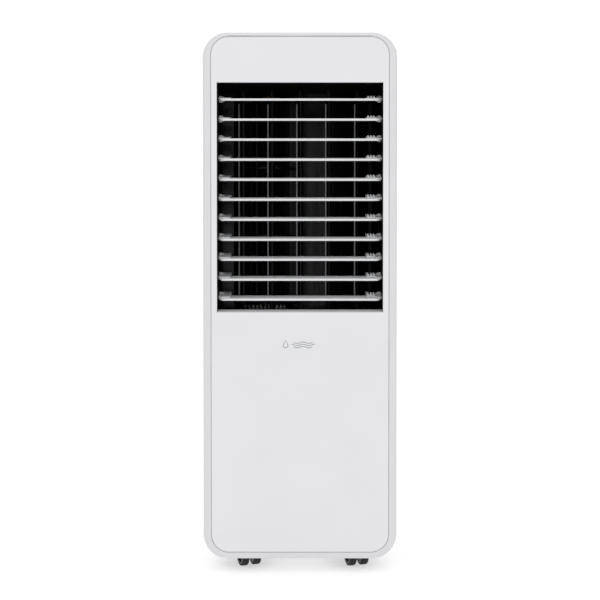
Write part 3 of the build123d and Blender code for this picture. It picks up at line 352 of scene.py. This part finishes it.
# pressed motor can: grey zinc with cloudy patches
motorSteel = workedMetal("steelZincPressed", {
    "low": "#8c9095", "high": "#aeb2b6", "stretch": (1, 1, 1), "lineMm": 1.6, "patchMm": 9,
    "rough": 0.42})
# zinc screws: a little brighter, with small patches
screwSteel = workedMetal("steelZincScrew", {
    "low": "#8f9296", "high": "#b5b8ba", "stretch": (1, 1, 1), "lineMm": 0.4, "patchMm": 3,
    "rough": 0.35})
# sintered bronze: brown-gold with a grainy surface
bushBronze = workedMetal("bronzeSintered", {
    "low": "#7d5a34", "high": "#a47c4c", "stretch": (1, 1, 1), "lineMm": 0.3, "patchMm": 4, "rough": 0.5})


def boardEpoxy(s):
    # glass-epoxy board: solder mask over copper tracks that stand a hair proud
    made, tree, coords = newMaterial("epoxySolderMaskGreen")
    tracks = addNode(tree, "ShaderNodeTexVoronoi", {"distance": "MANHATTAN", "feature": "F1"},
                     {"Vector": coords, "Scale": perMetre(s["trackMm"])})
    onTrack = addNode(tree, "ShaderNodeMapRange", None,
                      {"Value": tracks.outputs["Distance"], "From Min": 0.35, "From Max": 0.42})
    colour = addNode(tree, "ShaderNodeMix", {"data_type": "RGBA"},
                     {"Factor": onTrack.outputs["Result"], "A": linearColour(s["mask"]),
                      "B": linearColour(s["track"])})
    bump = addNode(tree, "ShaderNodeBump", None,
                   {"Height": onTrack.outputs["Result"], "Strength": 0.4, "Distance": 0.05 * mm})
    shader = addNode(tree, "ShaderNodeBsdfPrincipled", None,
                     {"Base Color": colour.outputs["Result"], "Roughness": 0.35,
                      "Normal": bump.outputs["Normal"], "IOR": 1.55})
    closeMaterial(tree, shader)
    return made


boardGreen = boardEpoxy({"trackMm": 3.5, "mask": "#0f4a2b", "track": "#1d6a40"})


def kraftPaper(s):
    # corrugated cellulose: brown kraft fibres, darker where the resin soaked in
    made, tree, coords = newMaterial("celluloseCorrugatedKraft")
    fibreMap = addNode(tree, "ShaderNodeMapping", None, {"Vector": coords, "Scale": (1, 1, 5)})
    fibres = addNode(tree, "ShaderNodeTexNoise", None,
                     {"Vector": fibreMap.outputs["Vector"], "Scale": perMetre(s["fibreMm"]), "Detail": 6.0,
                      "Roughness": 0.7})
    stain = addNode(tree, "ShaderNodeTexNoise", None,
                    {"Vector": coords, "Scale": perMetre(s["stainMm"]), "Detail": 4.0})
    ramp = addNode(tree, "ShaderNodeValToRGB", None, {"Fac": stain.outputs["Fac"]})
    ramp.color_ramp.elements[0].position = noiseLow
    ramp.color_ramp.elements[0].color = linearColour(s["dark"])
    ramp.color_ramp.elements[1].position = noiseHigh
    ramp.color_ramp.elements[1].color = linearColour(s["light"])
    colour = addNode(tree, "ShaderNodeMix", {"data_type": "RGBA", "blend_type": "MULTIPLY"},
                     {"Factor": 0.5, "A": ramp.outputs["Color"], "B": fibres.outputs["Color"]})
    bump = addNode(tree, "ShaderNodeBump", None,
                   {"Height": fibres.outputs["Fac"], "Strength": 0.6, "Distance": 0.15 * mm})
    shader = addNode(tree, "ShaderNodeBsdfPrincipled", None,
                     {"Base Color": colour.outputs["Result"], "Roughness": 0.85,
                      "Normal": bump.outputs["Normal"]})
    closeMaterial(tree, shader)
    return made


padKraft = kraftPaper({"fibreMm": 0.8, "stainMm": 25, "dark": "#7a5a33", "light": "#b08a57"})


def nylonNet(s):
    # extruded nylon threads: dark, slightly glossy, dusted along their length
    made, tree, coords = newMaterial("nylonNetWoven")
    dust = addNode(tree, "ShaderNodeTexNoise", None,
                   {"Vector": coords, "Scale": perMetre(s["dustMm"]), "Detail": 5.0})
    colour = addNode(tree, "ShaderNodeMix", {"data_type": "RGBA"},
                     {"Factor": dust.outputs["Fac"], "A": linearColour(s["thread"]),
                      "B": linearColour(s["dust"])})
    twist = addNode(tree, "ShaderNodeTexWave", {"wave_type": "BANDS", "bands_direction": "DIAGONAL"},
                    {"Vector": coords, "Scale": perMetre(s["twistMm"])})
    bump = addNode(tree, "ShaderNodeBump", None,
                   {"Height": twist.outputs["Fac"], "Strength": 0.3, "Distance": 0.1 * mm})
    shader = addNode(tree, "ShaderNodeBsdfPrincipled", None,
                     {"Base Color": colour.outputs["Result"], "Roughness": 0.5,
                      "Normal": bump.outputs["Normal"]})
    closeMaterial(tree, shader)
    return made


netBlack = nylonNet({"dustMm": 14, "thread": "#17181a", "dust": "#2c2d2e", "twistMm": 1.2})
print("finishes ready")


# ---- stage: pale floor, white surround, soft light

stage = {"floorHalf": 60.0, "floorLow": "#c2c2c2", "floorHigh": "#c8c8c8", "floorGlow": 0.52,
         "toothMm": 4, "worldTone": "#ffffff", "frontPower": 1.02, "sidePower": 0.62, "dimFrom": 0.35,
         "dimTo": 0.95, "aimHeight": 0.45}
# name, place and side of each square lamp in metres, power in watts
lamps = (("key", (-1.2, -2.8, 2.6), 2.4, 6.0),
         ("fill", (1.8, -2.6, 1.4), 2.0, 1.5),
         ("top", (0.0, -0.4, 2.9), 2.2, 6.0))


def makeStage():
    shape = bmesh.new()
    bmesh.ops.create_grid(shape, x_segments=1, y_segments=1, size=stage["floorHalf"])
    made, tree, coords = newMaterial("paperBackdropWhite")
    tooth = addNode(tree, "ShaderNodeTexNoise", None,
                    {"Vector": coords, "Scale": perMetre(stage["toothMm"]), "Detail": 3.0})
    tone = addNode(tree, "ShaderNodeMix", {"data_type": "RGBA"},
                   {"Factor": tooth.outputs["Fac"], "A": linearColour(stage["floorLow"]),
                    "B": linearColour(stage["floorHigh"])})
    closeMaterial(tree, addNode(tree, "ShaderNodeBsdfPrincipled", None,
                                {"Base Color": tone.outputs["Result"], "Roughness": 0.9,
                                 "Emission Color": linearColour("#ffffff"),
                                 "Emission Strength": stage["floorGlow"]}))
    mesh = bpy.data.meshes.new("floor")
    shape.to_mesh(mesh)
    shape.free()
    mesh.materials.append(made)
    floor = bpy.data.objects.new("floor", mesh)
    bpy.context.scene.collection.objects.link(floor)
    world = bpy.data.worlds.new("surround")
    bpy.context.scene.world = world
    world.use_nodes = True
    tree = world.node_tree
    back = tree.nodes["Background"]
    back.inputs["Color"].default_value = linearColour(stage["worldTone"])
    # white before and behind the cabinet, greyer to its sides, so that rounded edges turn soft grey
    around = addNode(tree, "ShaderNodeSeparateXYZ", None,
                     {"Vector": addNode(tree, "ShaderNodeTexCoord").outputs["Generated"]})
    aside = addNode(tree, "ShaderNodeMath", {"operation": "ABSOLUTE"}, {0: around.outputs["X"]})
    power = addNode(tree, "ShaderNodeMapRange", {"interpolation_type": "SMOOTHSTEP"},
                    {"Value": aside.outputs["Value"],
                     "From Min": stage["dimFrom"], "From Max": stage["dimTo"],
                     "To Min": stage["frontPower"], "To Max": stage["sidePower"]})
    tree.links.new(power.outputs["Result"], back.inputs["Strength"])
    for name, place, size, watts in lamps:
        lamp = bpy.data.lights.new(name, "AREA")
        lamp.shape = "SQUARE"
        lamp.size = size
        lamp.energy = watts
        lampObject = bpy.data.objects.new(name, lamp)
        lampObject.location = place
        aim = Vector((0, 0, stage["aimHeight"])) - Vector(place)
        lampObject.rotation_euler = aim.to_track_quat("-Z", "Y").to_euler()
        bpy.context.scene.collection.objects.link(lampObject)


makeStage()

# eye level a little above the middle of the cabinet, square on to the front
view = {"eyeHeight": 484.4, "distance": 1600.0, "lensMm": 63.0, "sensorMm": 36.0, "tiltDeg": 1.17,
        "shiftUp": -0.0358, "farClip": 50.0}


def makeCamera():
    lens = bpy.data.cameras.new("camera")
    lens.sensor_width = view["sensorMm"]
    lens.lens = view["lensMm"]
    lens.shift_y = view["shiftUp"]
    lens.clip_end = view["farClip"]
    camera = bpy.data.objects.new("camera", lens)
    camera.location = (0.0, cadBox[0].y - view["distance"] * mm, view["eyeHeight"] * mm)
    camera.rotation_euler = (math.radians(90 - view["tiltDeg"]), 0.0, 0.0)
    bpy.context.scene.collection.objects.link(camera)
    bpy.context.scene.camera = camera
    bpy.context.scene.view_settings.view_transform = "Standard"


makeCamera()
print("stage and camera ready")


# ---- shapes shared by several pieces

def boxOf(node):
    # the node's box in millimetres
    points = [corner.co / mm for corner in nodes[node].data.vertices]
    return (Vector([min(p[i] for p in points) for i in range(3)]),
            Vector([max(p[i] for p in points) for i in range(3)]))


def addStroke(shape, points, width, place, low, high, closed=False):
    # flat bar of some width that follows points, standing from low to high over its face
    count = len(points)
    rings = []
    for i, (u, v) in enumerate(points):
        before = points[i - 1] if closed or i > 0 else points[i]
        after = points[(i + 1) % count] if closed or i < count - 1 else points[i]
        along = Vector((after[0] - before[0], after[1] - before[1])).normalized()
        side = Vector((-along.y, along.x)) * width / 2
        rings.append([shape.verts.new(Vector(place(u + sign * side.x, v + sign * side.y, w)) * mm)
                      for sign, w in ((-1, low), (1, low), (1, high), (-1, high))])
    for i in range(count if closed else count - 1):
        here, there = rings[i], rings[(i + 1) % count]
        for k in range(4):
            shape.faces.new((here[k], here[(k + 1) % 4], there[(k + 1) % 4], there[k]))
    if not closed:
        shape.faces.new(rings[0][::-1])
        shape.faces.new(rings[-1])


def arcPoints(u, v, radius, fromDeg, toDeg, steps):
    return [(u + radius * math.cos(math.radians(fromDeg + (toDeg - fromDeg) * i / steps)),
             v + radius * math.sin(math.radians(fromDeg + (toDeg - fromDeg) * i / steps)))
            for i in range(steps + 1)]


def roundedLoop(centreU, centreV, halfU, halfV, radius, steps=10):
    points = []
    for quarter, (su, sv) in enumerate(((1, 1), (-1, 1), (-1, -1), (1, -1))):
        points += arcPoints(centreU + su * (halfU - radius), centreV + sv * (halfV - radius), radius,
                            90 * quarter, 90 * quarter + 90, steps)
    return points


def solidNormals(shape):
    bmesh.ops.recalc_face_normals(shape, faces=shape.faces)


# ---- cabinet

# the panel's copy stands back by the print's thickness, so that the print stays inside the cabinet's depth
refine("front_panel", panelWhite, 0.8, shift=(0, 0.15, 0))
refine("front_frame", shellWhite, 0.6)
for node in ("side_shells", "rear_panel"):
    refine(node, shellWhite, 0.5)
refine("tank_cover", shellWhite, 0.5)
refine("inlet_grille", shellWhite, 0.7)
refine("side_grips", gripGrey, 0.6)
refine("control_overlay", overlayBlack, 0.25, shift=(0, 0, -0.12))
refine("outlet_duct", ductBlack, 0.3)

# pale bead in the seam round the front panel, which keeps the seam a soft grey line
gasket = {"seam": 0.5, "radius": 28.0, "width": 0.44, "down": 0.9, "deep": 3.4}


def makeGasket():
    low, high = boxOf("front_panel")
    frontY = cadBox[0].y / mm
    shape = bmesh.new()
    loop = roundedLoop((low.x + high.x) / 2, (low.z + high.z) / 2, (high.x - low.x + gasket["seam"]) / 2,
                       (high.z - low.z + gasket["seam"]) / 2, gasket["radius"] + gasket["seam"] / 2)
    addStroke(shape, loop, gasket["width"], lambda u, v, w: (u, frontY + w, v),
              gasket["down"], gasket["deep"], closed=True)
    solidNormals(shape)
    finishPiece("panelGasket", shape, panelWhite, "cabinet")


makeGasket()

# printed mark below the outlet: a drop and three lines of moving air
mark = {"height": 349.5, "dropX": -22.0, "dropR": 3.6, "dropTall": 2.3, "lineFrom": -13.0, "lineTo": 23.0,
        "rowPitch": 3.4, "rowUp": 0.9, "startIn": 3.0, "endIn": 4.0, "wave": 1.1, "waveLength": 18.0,
        "waveSteps": 36, "stroke": 1.1, "from": 0.01, "thick": 0.13}


def makeMark():
    frontY = cadBox[0].y / mm
    place = lambda u, v, w: (u, frontY + w, v)
    shape = bmesh.new()
    tip = mark["height"] + mark["dropTall"] * mark["dropR"]
    drop = arcPoints(mark["dropX"], mark["height"], mark["dropR"], -215, 35, 26) + [(mark["dropX"], tip)]
    addStroke(shape, drop, mark["stroke"], place, mark["from"], mark["thick"], closed=True)
    for row in (-1, 0, 1):
        points = []
        start = mark["lineFrom"] + mark["startIn"] * abs(row)
        end = mark["lineTo"] - mark["endIn"] * abs(row)
        for i in range(mark["waveSteps"] + 1):
            u = start + (end - start) * i / mark["waveSteps"]
            points.append((u, mark["height"] + mark["rowUp"] + row * mark["rowPitch"]
                           + mark["wave"] * math.sin(2 * math.pi * u / mark["waveLength"])))
        addStroke(shape, points, mark["stroke"], place, mark["from"], mark["thick"])
    solidNormals(shape)
    finishPiece("frontMark", shape, markGrey, "cabinet")


makeMark()

# white touch marks on the black strip, and a two-digit reading between them
icons = {"pitch": 22.0, "size": 4.2, "stroke": 0.7, "low": -0.11, "high": -0.02,
         "digitH": 11.0, "digitW": 6.0, "digitOff": 5.2, "digitStroke": 1.0, "digitCut": 0.55}


def makeIcons():
    low, high = boxOf("control_overlay")
    midY = (low.y + high.y) / 2
    place = lambda u, v, w: (u, midY + v, high.z + w)
    size, stroke, band = icons["size"], icons["stroke"], (icons["low"], icons["high"])
    shape = bmesh.new()

    def ring(u, radius, fromDeg=0, toDeg=360):
        closed = toDeg - fromDeg == 360
        points = arcPoints(u, 0, radius, fromDeg, toDeg, 32)
        addStroke(shape, points[:-1] if closed else points, stroke, place, *band, closed=closed)

    def bar(u0, v0, u1, v1):
        addStroke(shape, [(u0, v0), (u1, v1)], stroke, place, *band)

    first = -3.4 * icons["pitch"]
    # power: open ring with a bar
    ring(first, size, 125, 415)
    bar(first, size * 0.2, first, size * 1.3)
    # fan: three curved blades round a hub
    fan = first + icons["pitch"]
    ring(fan, size * 0.25)
    for turn in (0, 120, 240):
        a = math.radians(turn)
        addStroke(shape, arcPoints(fan + size * 0.6 * math.cos(a), size * 0.6 * math.sin(a), size * 0.5,
                                   turn - 60, turn + 150, 14), stroke, place, *band)
    # swing: double arrow
    swing = fan + icons["pitch"]
    bar(swing - size, 0, swing + size, 0)
    for sign in (-1, 1):
        for lean in (-1, 1):
            bar(swing + sign * size, 0, swing + sign * size * 0.55, lean * size * 0.45)
    # cooling: drop
    cool = -swing
    addStroke(shape, arcPoints(cool, -size * 0.3, size * 0.65, -215, 35, 22) + [(cool, size * 1.2)],
              stroke, place, *band, closed=True)
    # timer: clock face with two hands
    clock = cool + icons["pitch"]
    ring(clock, size)
    bar(clock, 0, clock, size * 0.65)
    bar(clock, 0, clock + size * 0.5, 0)
    # sleep: crescent
    moon = clock + icons["pitch"]
    outer = arcPoints(moon, 0, size, 60, 300, 22)
    inner = arcPoints(moon + size * 0.55, 0, size * 0.85, 270, 90, 18)
    addStroke(shape, outer + inner, stroke, place, *band, closed=True)
    # reading of two digits made of short bars
    w, h = icons["digitW"] / 2, icons["digitH"] / 2
    segments = {"a": (-w, h, w, h), "b": (w, h, w, 0), "c": (w, 0, w, -h), "d": (-w, -h, w, -h),
                "e": (-w, 0, -w, -h), "f": (-w, h, -w, 0), "g": (-w, 0, w, 0)}
    for centre, lit in ((-icons["digitOff"], "abged"), (icons["digitOff"], "fgbc")):
        for key in lit:
            u0, v0, u1, v1 = segments[key]
            reach = math.hypot(u1 - u0, v1 - v0)
            du = (u1 - u0) / reach * icons["digitCut"]
            dv = (v1 - v0) / reach * icons["digitCut"]
            addStroke(shape, [(centre + u0 + du, v0 + dv), (centre + u1 - du, v1 - dv)],
                      icons["digitStroke"], place, *band)
    solidNormals(shape)
    finishPiece("touchMarks", shape, iconWhite, "cabinet")


makeIcons()
print("cabinet ready")


# ---- louvres, vanes and blower housing

# how squarely a face looks forward, and how near it lies to the very front, to count as the front face that gets
# the painted highlight
highlightFace = {"facing": 0.9, "withinMm": 1.5}


def paleFrontEdge(piece, finish):
    # second finish on the long foremost face: a painted highlight
    piece.data.materials.append(finish)
    front = min(corner.co.y for corner in piece.data.vertices)
    for face in piece.data.polygons:
        if face.normal.y < -highlightFace["facing"] and face.center.y < front + highlightFace["withinMm"] * mm:
            face.material_index = 1


for number in range(1, 12):
    refine("louvre_" + str(number).zfill(2), louvreWhite, 0.3)
refine("louvre_link", ductBlack, 0.4)
# the vanes' front faces carry a painted highlight
for number in range(1, 6):
    paleFrontEdge(refine("vane_" + str(number), vaneBlack, 0.2), vaneFrontHighlight)
refine("vane_link", vaneBlack, 0.3)
refine("blower_casing", casingBlack, 0.4)
refine("blower_top_plate", casingBlack, 0.4)
print("louvres and vanes ready")


# ---- wet side at the back

# corrugated sheets whose flutes lean opposite ways in turn
pad = {"sheetPitch": 7.0, "waveLength": 14.0, "waveHigh": 3.1, "leanDeg": 30.0, "stepY": 5.5, "stepZ": 4.0,
       "paper": 0.35, "clear": 0.4}


def makePad():
    low, high = boxOf("cooling_pad")
    count = int((high.x - low.x) / pad["sheetPitch"])
    rowsY = max(2, round((high.y - low.y) / pad["stepY"]))
    rowsZ = round((high.z - low.z) / pad["stepZ"])
    shape = bmesh.new()
    for sheet in range(count):
        x0 = (low.x + high.x) / 2 + (sheet - (count - 1) / 2) * pad["sheetPitch"]
        lean = math.radians(pad["leanDeg"]) * (1 if sheet % 2 else -1)
        grid = []
        for i in range(rowsZ + 1):
            z = low.z + pad["clear"] + (high.z - low.z - 2 * pad["clear"]) * i / rowsZ
            line = []
            for j in range(rowsY + 1):
                y = low.y + pad["clear"] + (high.y - low.y - 2 * pad["clear"]) * j / rowsY
                phase = 2 * math.pi * (z * math.cos(lean) + y * math.sin(lean)) / pad["waveLength"]
                line.append(shape.verts.new(Vector((x0 + pad["waveHigh"] * math.sin(phase), y, z)) * mm))
            grid.append(line)
        for i in range(rowsZ):
            for j in range(rowsY):
                shape.faces.new((grid[i][j], grid[i][j + 1], grid[i + 1][j + 1], grid[i + 1][j]))
    piece = finishPiece("honeycombPad", shape, padKraft, "filter_cassette", smoothDeg=80)
    paper = piece.modifiers.new("paper", "SOLIDIFY")
    paper.thickness = pad["paper"] * mm
    paper.offset = 0.0
    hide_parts("cooling_pad")


makePad()

# plastic frame with a net of crossed threads
net = {"threadPitch": 4.0, "thread": 0.55, "frame": 6.0, "frameThick": 3.8, "cornerR": 3.0, "inside": 0.05,
       "tuckIn": 0.5}


def makeDustFilter():
    low, high = boxOf("dust_filter")
    midY = (low.y + high.y) / 2
    place = lambda u, v, w: (u, midY + w, v)
    shape = bmesh.new()
    half = net["frame"] / 2 + net["inside"]
    loop = roundedLoop((low.x + high.x) / 2, (low.z + high.z) / 2, (high.x - low.x) / 2 - half,
                       (high.z - low.z) / 2 - half, net["cornerR"], 4)
    addStroke(shape, loop, net["frame"], place, -net["frameThick"] / 2, net["frameThick"] / 2, closed=True)
    border = net["frame"] - net["tuckIn"]
    u0, u1 = low.x + border, high.x - border
    v0, v1 = low.z + border, high.z - border
    thread = net["thread"]
    for i in range(1, int((u1 - u0) / net["threadPitch"])):
        u = u0 + i * net["threadPitch"]
        addStroke(shape, [(u, v0), (u, v1)], thread, place, -thread * 0.9, 0.0)
    for i in range(1, int((v1 - v0) / net["threadPitch"])):
        v = v0 + i * net["threadPitch"]
        addStroke(shape, [(u0, v), (u1, v)], thread, place, -thread * 0.1, thread * 0.8)
    solidNormals(shape)
    piece = finishPiece("dustNet", shape, netBlack, "filter_cassette", smoothDeg=30)
    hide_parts("dust_filter")


makeDustFilter()

# printed level marks beside the gauge window
scale = {"marks": 7, "longMark": 6.0, "shortMark": 3.5, "stroke": 0.9, "endIn": 8.0, "aside": 2.2,
         "from": 0.01, "thick": 0.1}


def makeLevelMarks():
    low, high = boxOf("level_window")
    backY = cadBox[1].y / mm
    place = lambda u, v, w: (u, backY - w, v)
    shape = bmesh.new()
    for i in range(scale["marks"]):
        v = low.z + scale["endIn"] + (high.z - low.z - 2 * scale["endIn"]) * i / (scale["marks"] - 1)
        reach = scale["longMark"] if i % 3 == 0 else scale["shortMark"]
        start = high.x + scale["aside"]
        addStroke(shape, [(start, v), (start + reach, v)], scale["stroke"], place, scale["from"],
                  scale["thick"])
    solidNormals(shape)
    finishPiece("levelMarks", shape, markGrey, "tank")


makeLevelMarks()
print("wet side ready")


# ---- castors

# twin nylon wheels: grey tread band, dished black hub with a cap, round axle end
wheel = {"radius": 18.0, "inner": 4.6, "wide": 10.6, "shoulder": 1.5, "groove": 0.5, "dish": 2.2, "cap": 5.0,
         "axleR": 2.4, "inside": 0.02, "steps": 56}


def makeWheels(corner):
    joint = joints["wheels_" + corner + "_roll"]
    centre = Vector(joint["pos_m"])
    axis = Vector(joint["axis"]).normalized()
    turn = Matrix.Translation(centre) @ axis.to_track_quat("Z", "Y").to_matrix().to_4x4()
    r = wheel["radius"] - wheel["inside"]
    a0 = wheel["inner"] + wheel["inside"]
    a1 = wheel["inner"] + wheel["wide"] - wheel["inside"]
    e, g = wheel["shoulder"], wheel["groove"]
    mid = (a0 + a1) / 2
    tread = [(r * 0.84, a0 + 0.05), (r - e, a0), (r - e * 0.3, a0 + e * 0.3), (r, a0 + e), (r, mid - 1.6),
             (r - g, mid - 1.3), (r - g, mid - 0.7), (r, mid - 0.4), (r, mid + 0.4), (r - g, mid + 0.7),
             (r - g, mid + 1.3), (r, mid + 1.6), (r, a1 - e), (r - e * 0.3, a1 - e * 0.3), (r - e, a1),
             (r * 0.84, a1 - 0.05)]
    hub = [(0.0, a0), (r * 0.2, a0), (r * 0.25, a0 + 0.5), (r * 0.55, a0 + 0.5), (r * 0.6, a0 + 0.05),
           (r * 0.85, a0 + 0.05), (r * 0.85, a1 - 0.05), (r * 0.66, a1 - 0.05),
           (r * 0.61, a1 - wheel["dish"]), (wheel["cap"] + 0.6, a1 - wheel["dish"]),
           (wheel["cap"], a1 - wheel["dish"] + 0.3),
           (wheel["cap"] - 0.7, a1 - 0.5), (0.0, a1 - 0.3)]
    axle = [(0.0, -a0 - 0.5), (wheel["axleR"], -a0 - 0.5), (wheel["axleR"], a0 + 0.5), (0.0, a0 + 0.5)]
    for part, profile, finish, both in (("tread", tread, treadGrey, True), ("hub", hub, wheelBlack, True),
                                        ("axle", axle, shaftSteel, False)):
        shape = bmesh.new()
        for sign in ((-1, 1) if both else (1,)):
            corners = [shape.verts.new((radius * mm, 0.0, sign * along * mm)) for radius, along in profile]
            edges = [shape.edges.new(pair) for pair in zip(corners, corners[1:])]
            bmesh.ops.spin(shape, geom=corners + edges, cent=(0, 0, 0), axis=(0, 0, 1), angle=2 * math.pi,
                           steps=wheel["steps"], use_merge=True)
        bmesh.ops.remove_doubles(shape, verts=shape.verts, dist=1e-6)
        bmesh.ops.transform(shape, matrix=turn, verts=shape.verts)
        solidNormals(shape)
        piece = finishPiece("wheel_" + part + "_" + corner, shape, finish, "wheels_" + corner)
        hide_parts("castor_wheels_" + corner)


for corner in ("front_left", "front_right", "rear_left", "rear_right"):
    refine("castor_fork_" + corner, wheelBlack, 0.4)
    makeWheels(corner)
print("castors ready")


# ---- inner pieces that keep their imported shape, or get only softened edges

for node, finish, edgeMm, slotName in (
        ("base_screws", screwSteel, 0.25, "screw_steel"), ("fan_motor", motorSteel, 0.5, "motor_steel"),
        ("swing_motor", motorSteel, 0.3, "motor_steel"), ("power_box", boxGrey, 0.5, "box_grey"),
        ("water_pump", pumpBlack, 0.6, "pump_blue"), ("drip_tray", boxGrey, 0.5, "box_grey"),
        ("pad_frame", ductBlack, 0.5, "duct_black"), ("level_float", floatRed, 0.6, "float_red"),
        ("drain_plug", rubberBlack, 0.5, "rubber_black"), ("cord_gland", rubberBlack, 0.4, "rubber_black")):
    refine(node, finish, edgeMm)

plainNodes = {
    "circuit_boards": boardGreen, "base_plate": ductBlack, "drum_bearing": bushBronze,
    "pump_chamber": tankMilky, "chamber_seal": rubberBlack, "pump_hose": hoseSilicone,
    "water_trough": boxGrey, "blower_drum": drumBlack, "blower_shaft": shaftSteel, "water_tank": tankMilky,
    "level_window": windowClear,
}
for node, finish in plainNodes.items():
    paint(node, finish)
print("inner pieces ready")
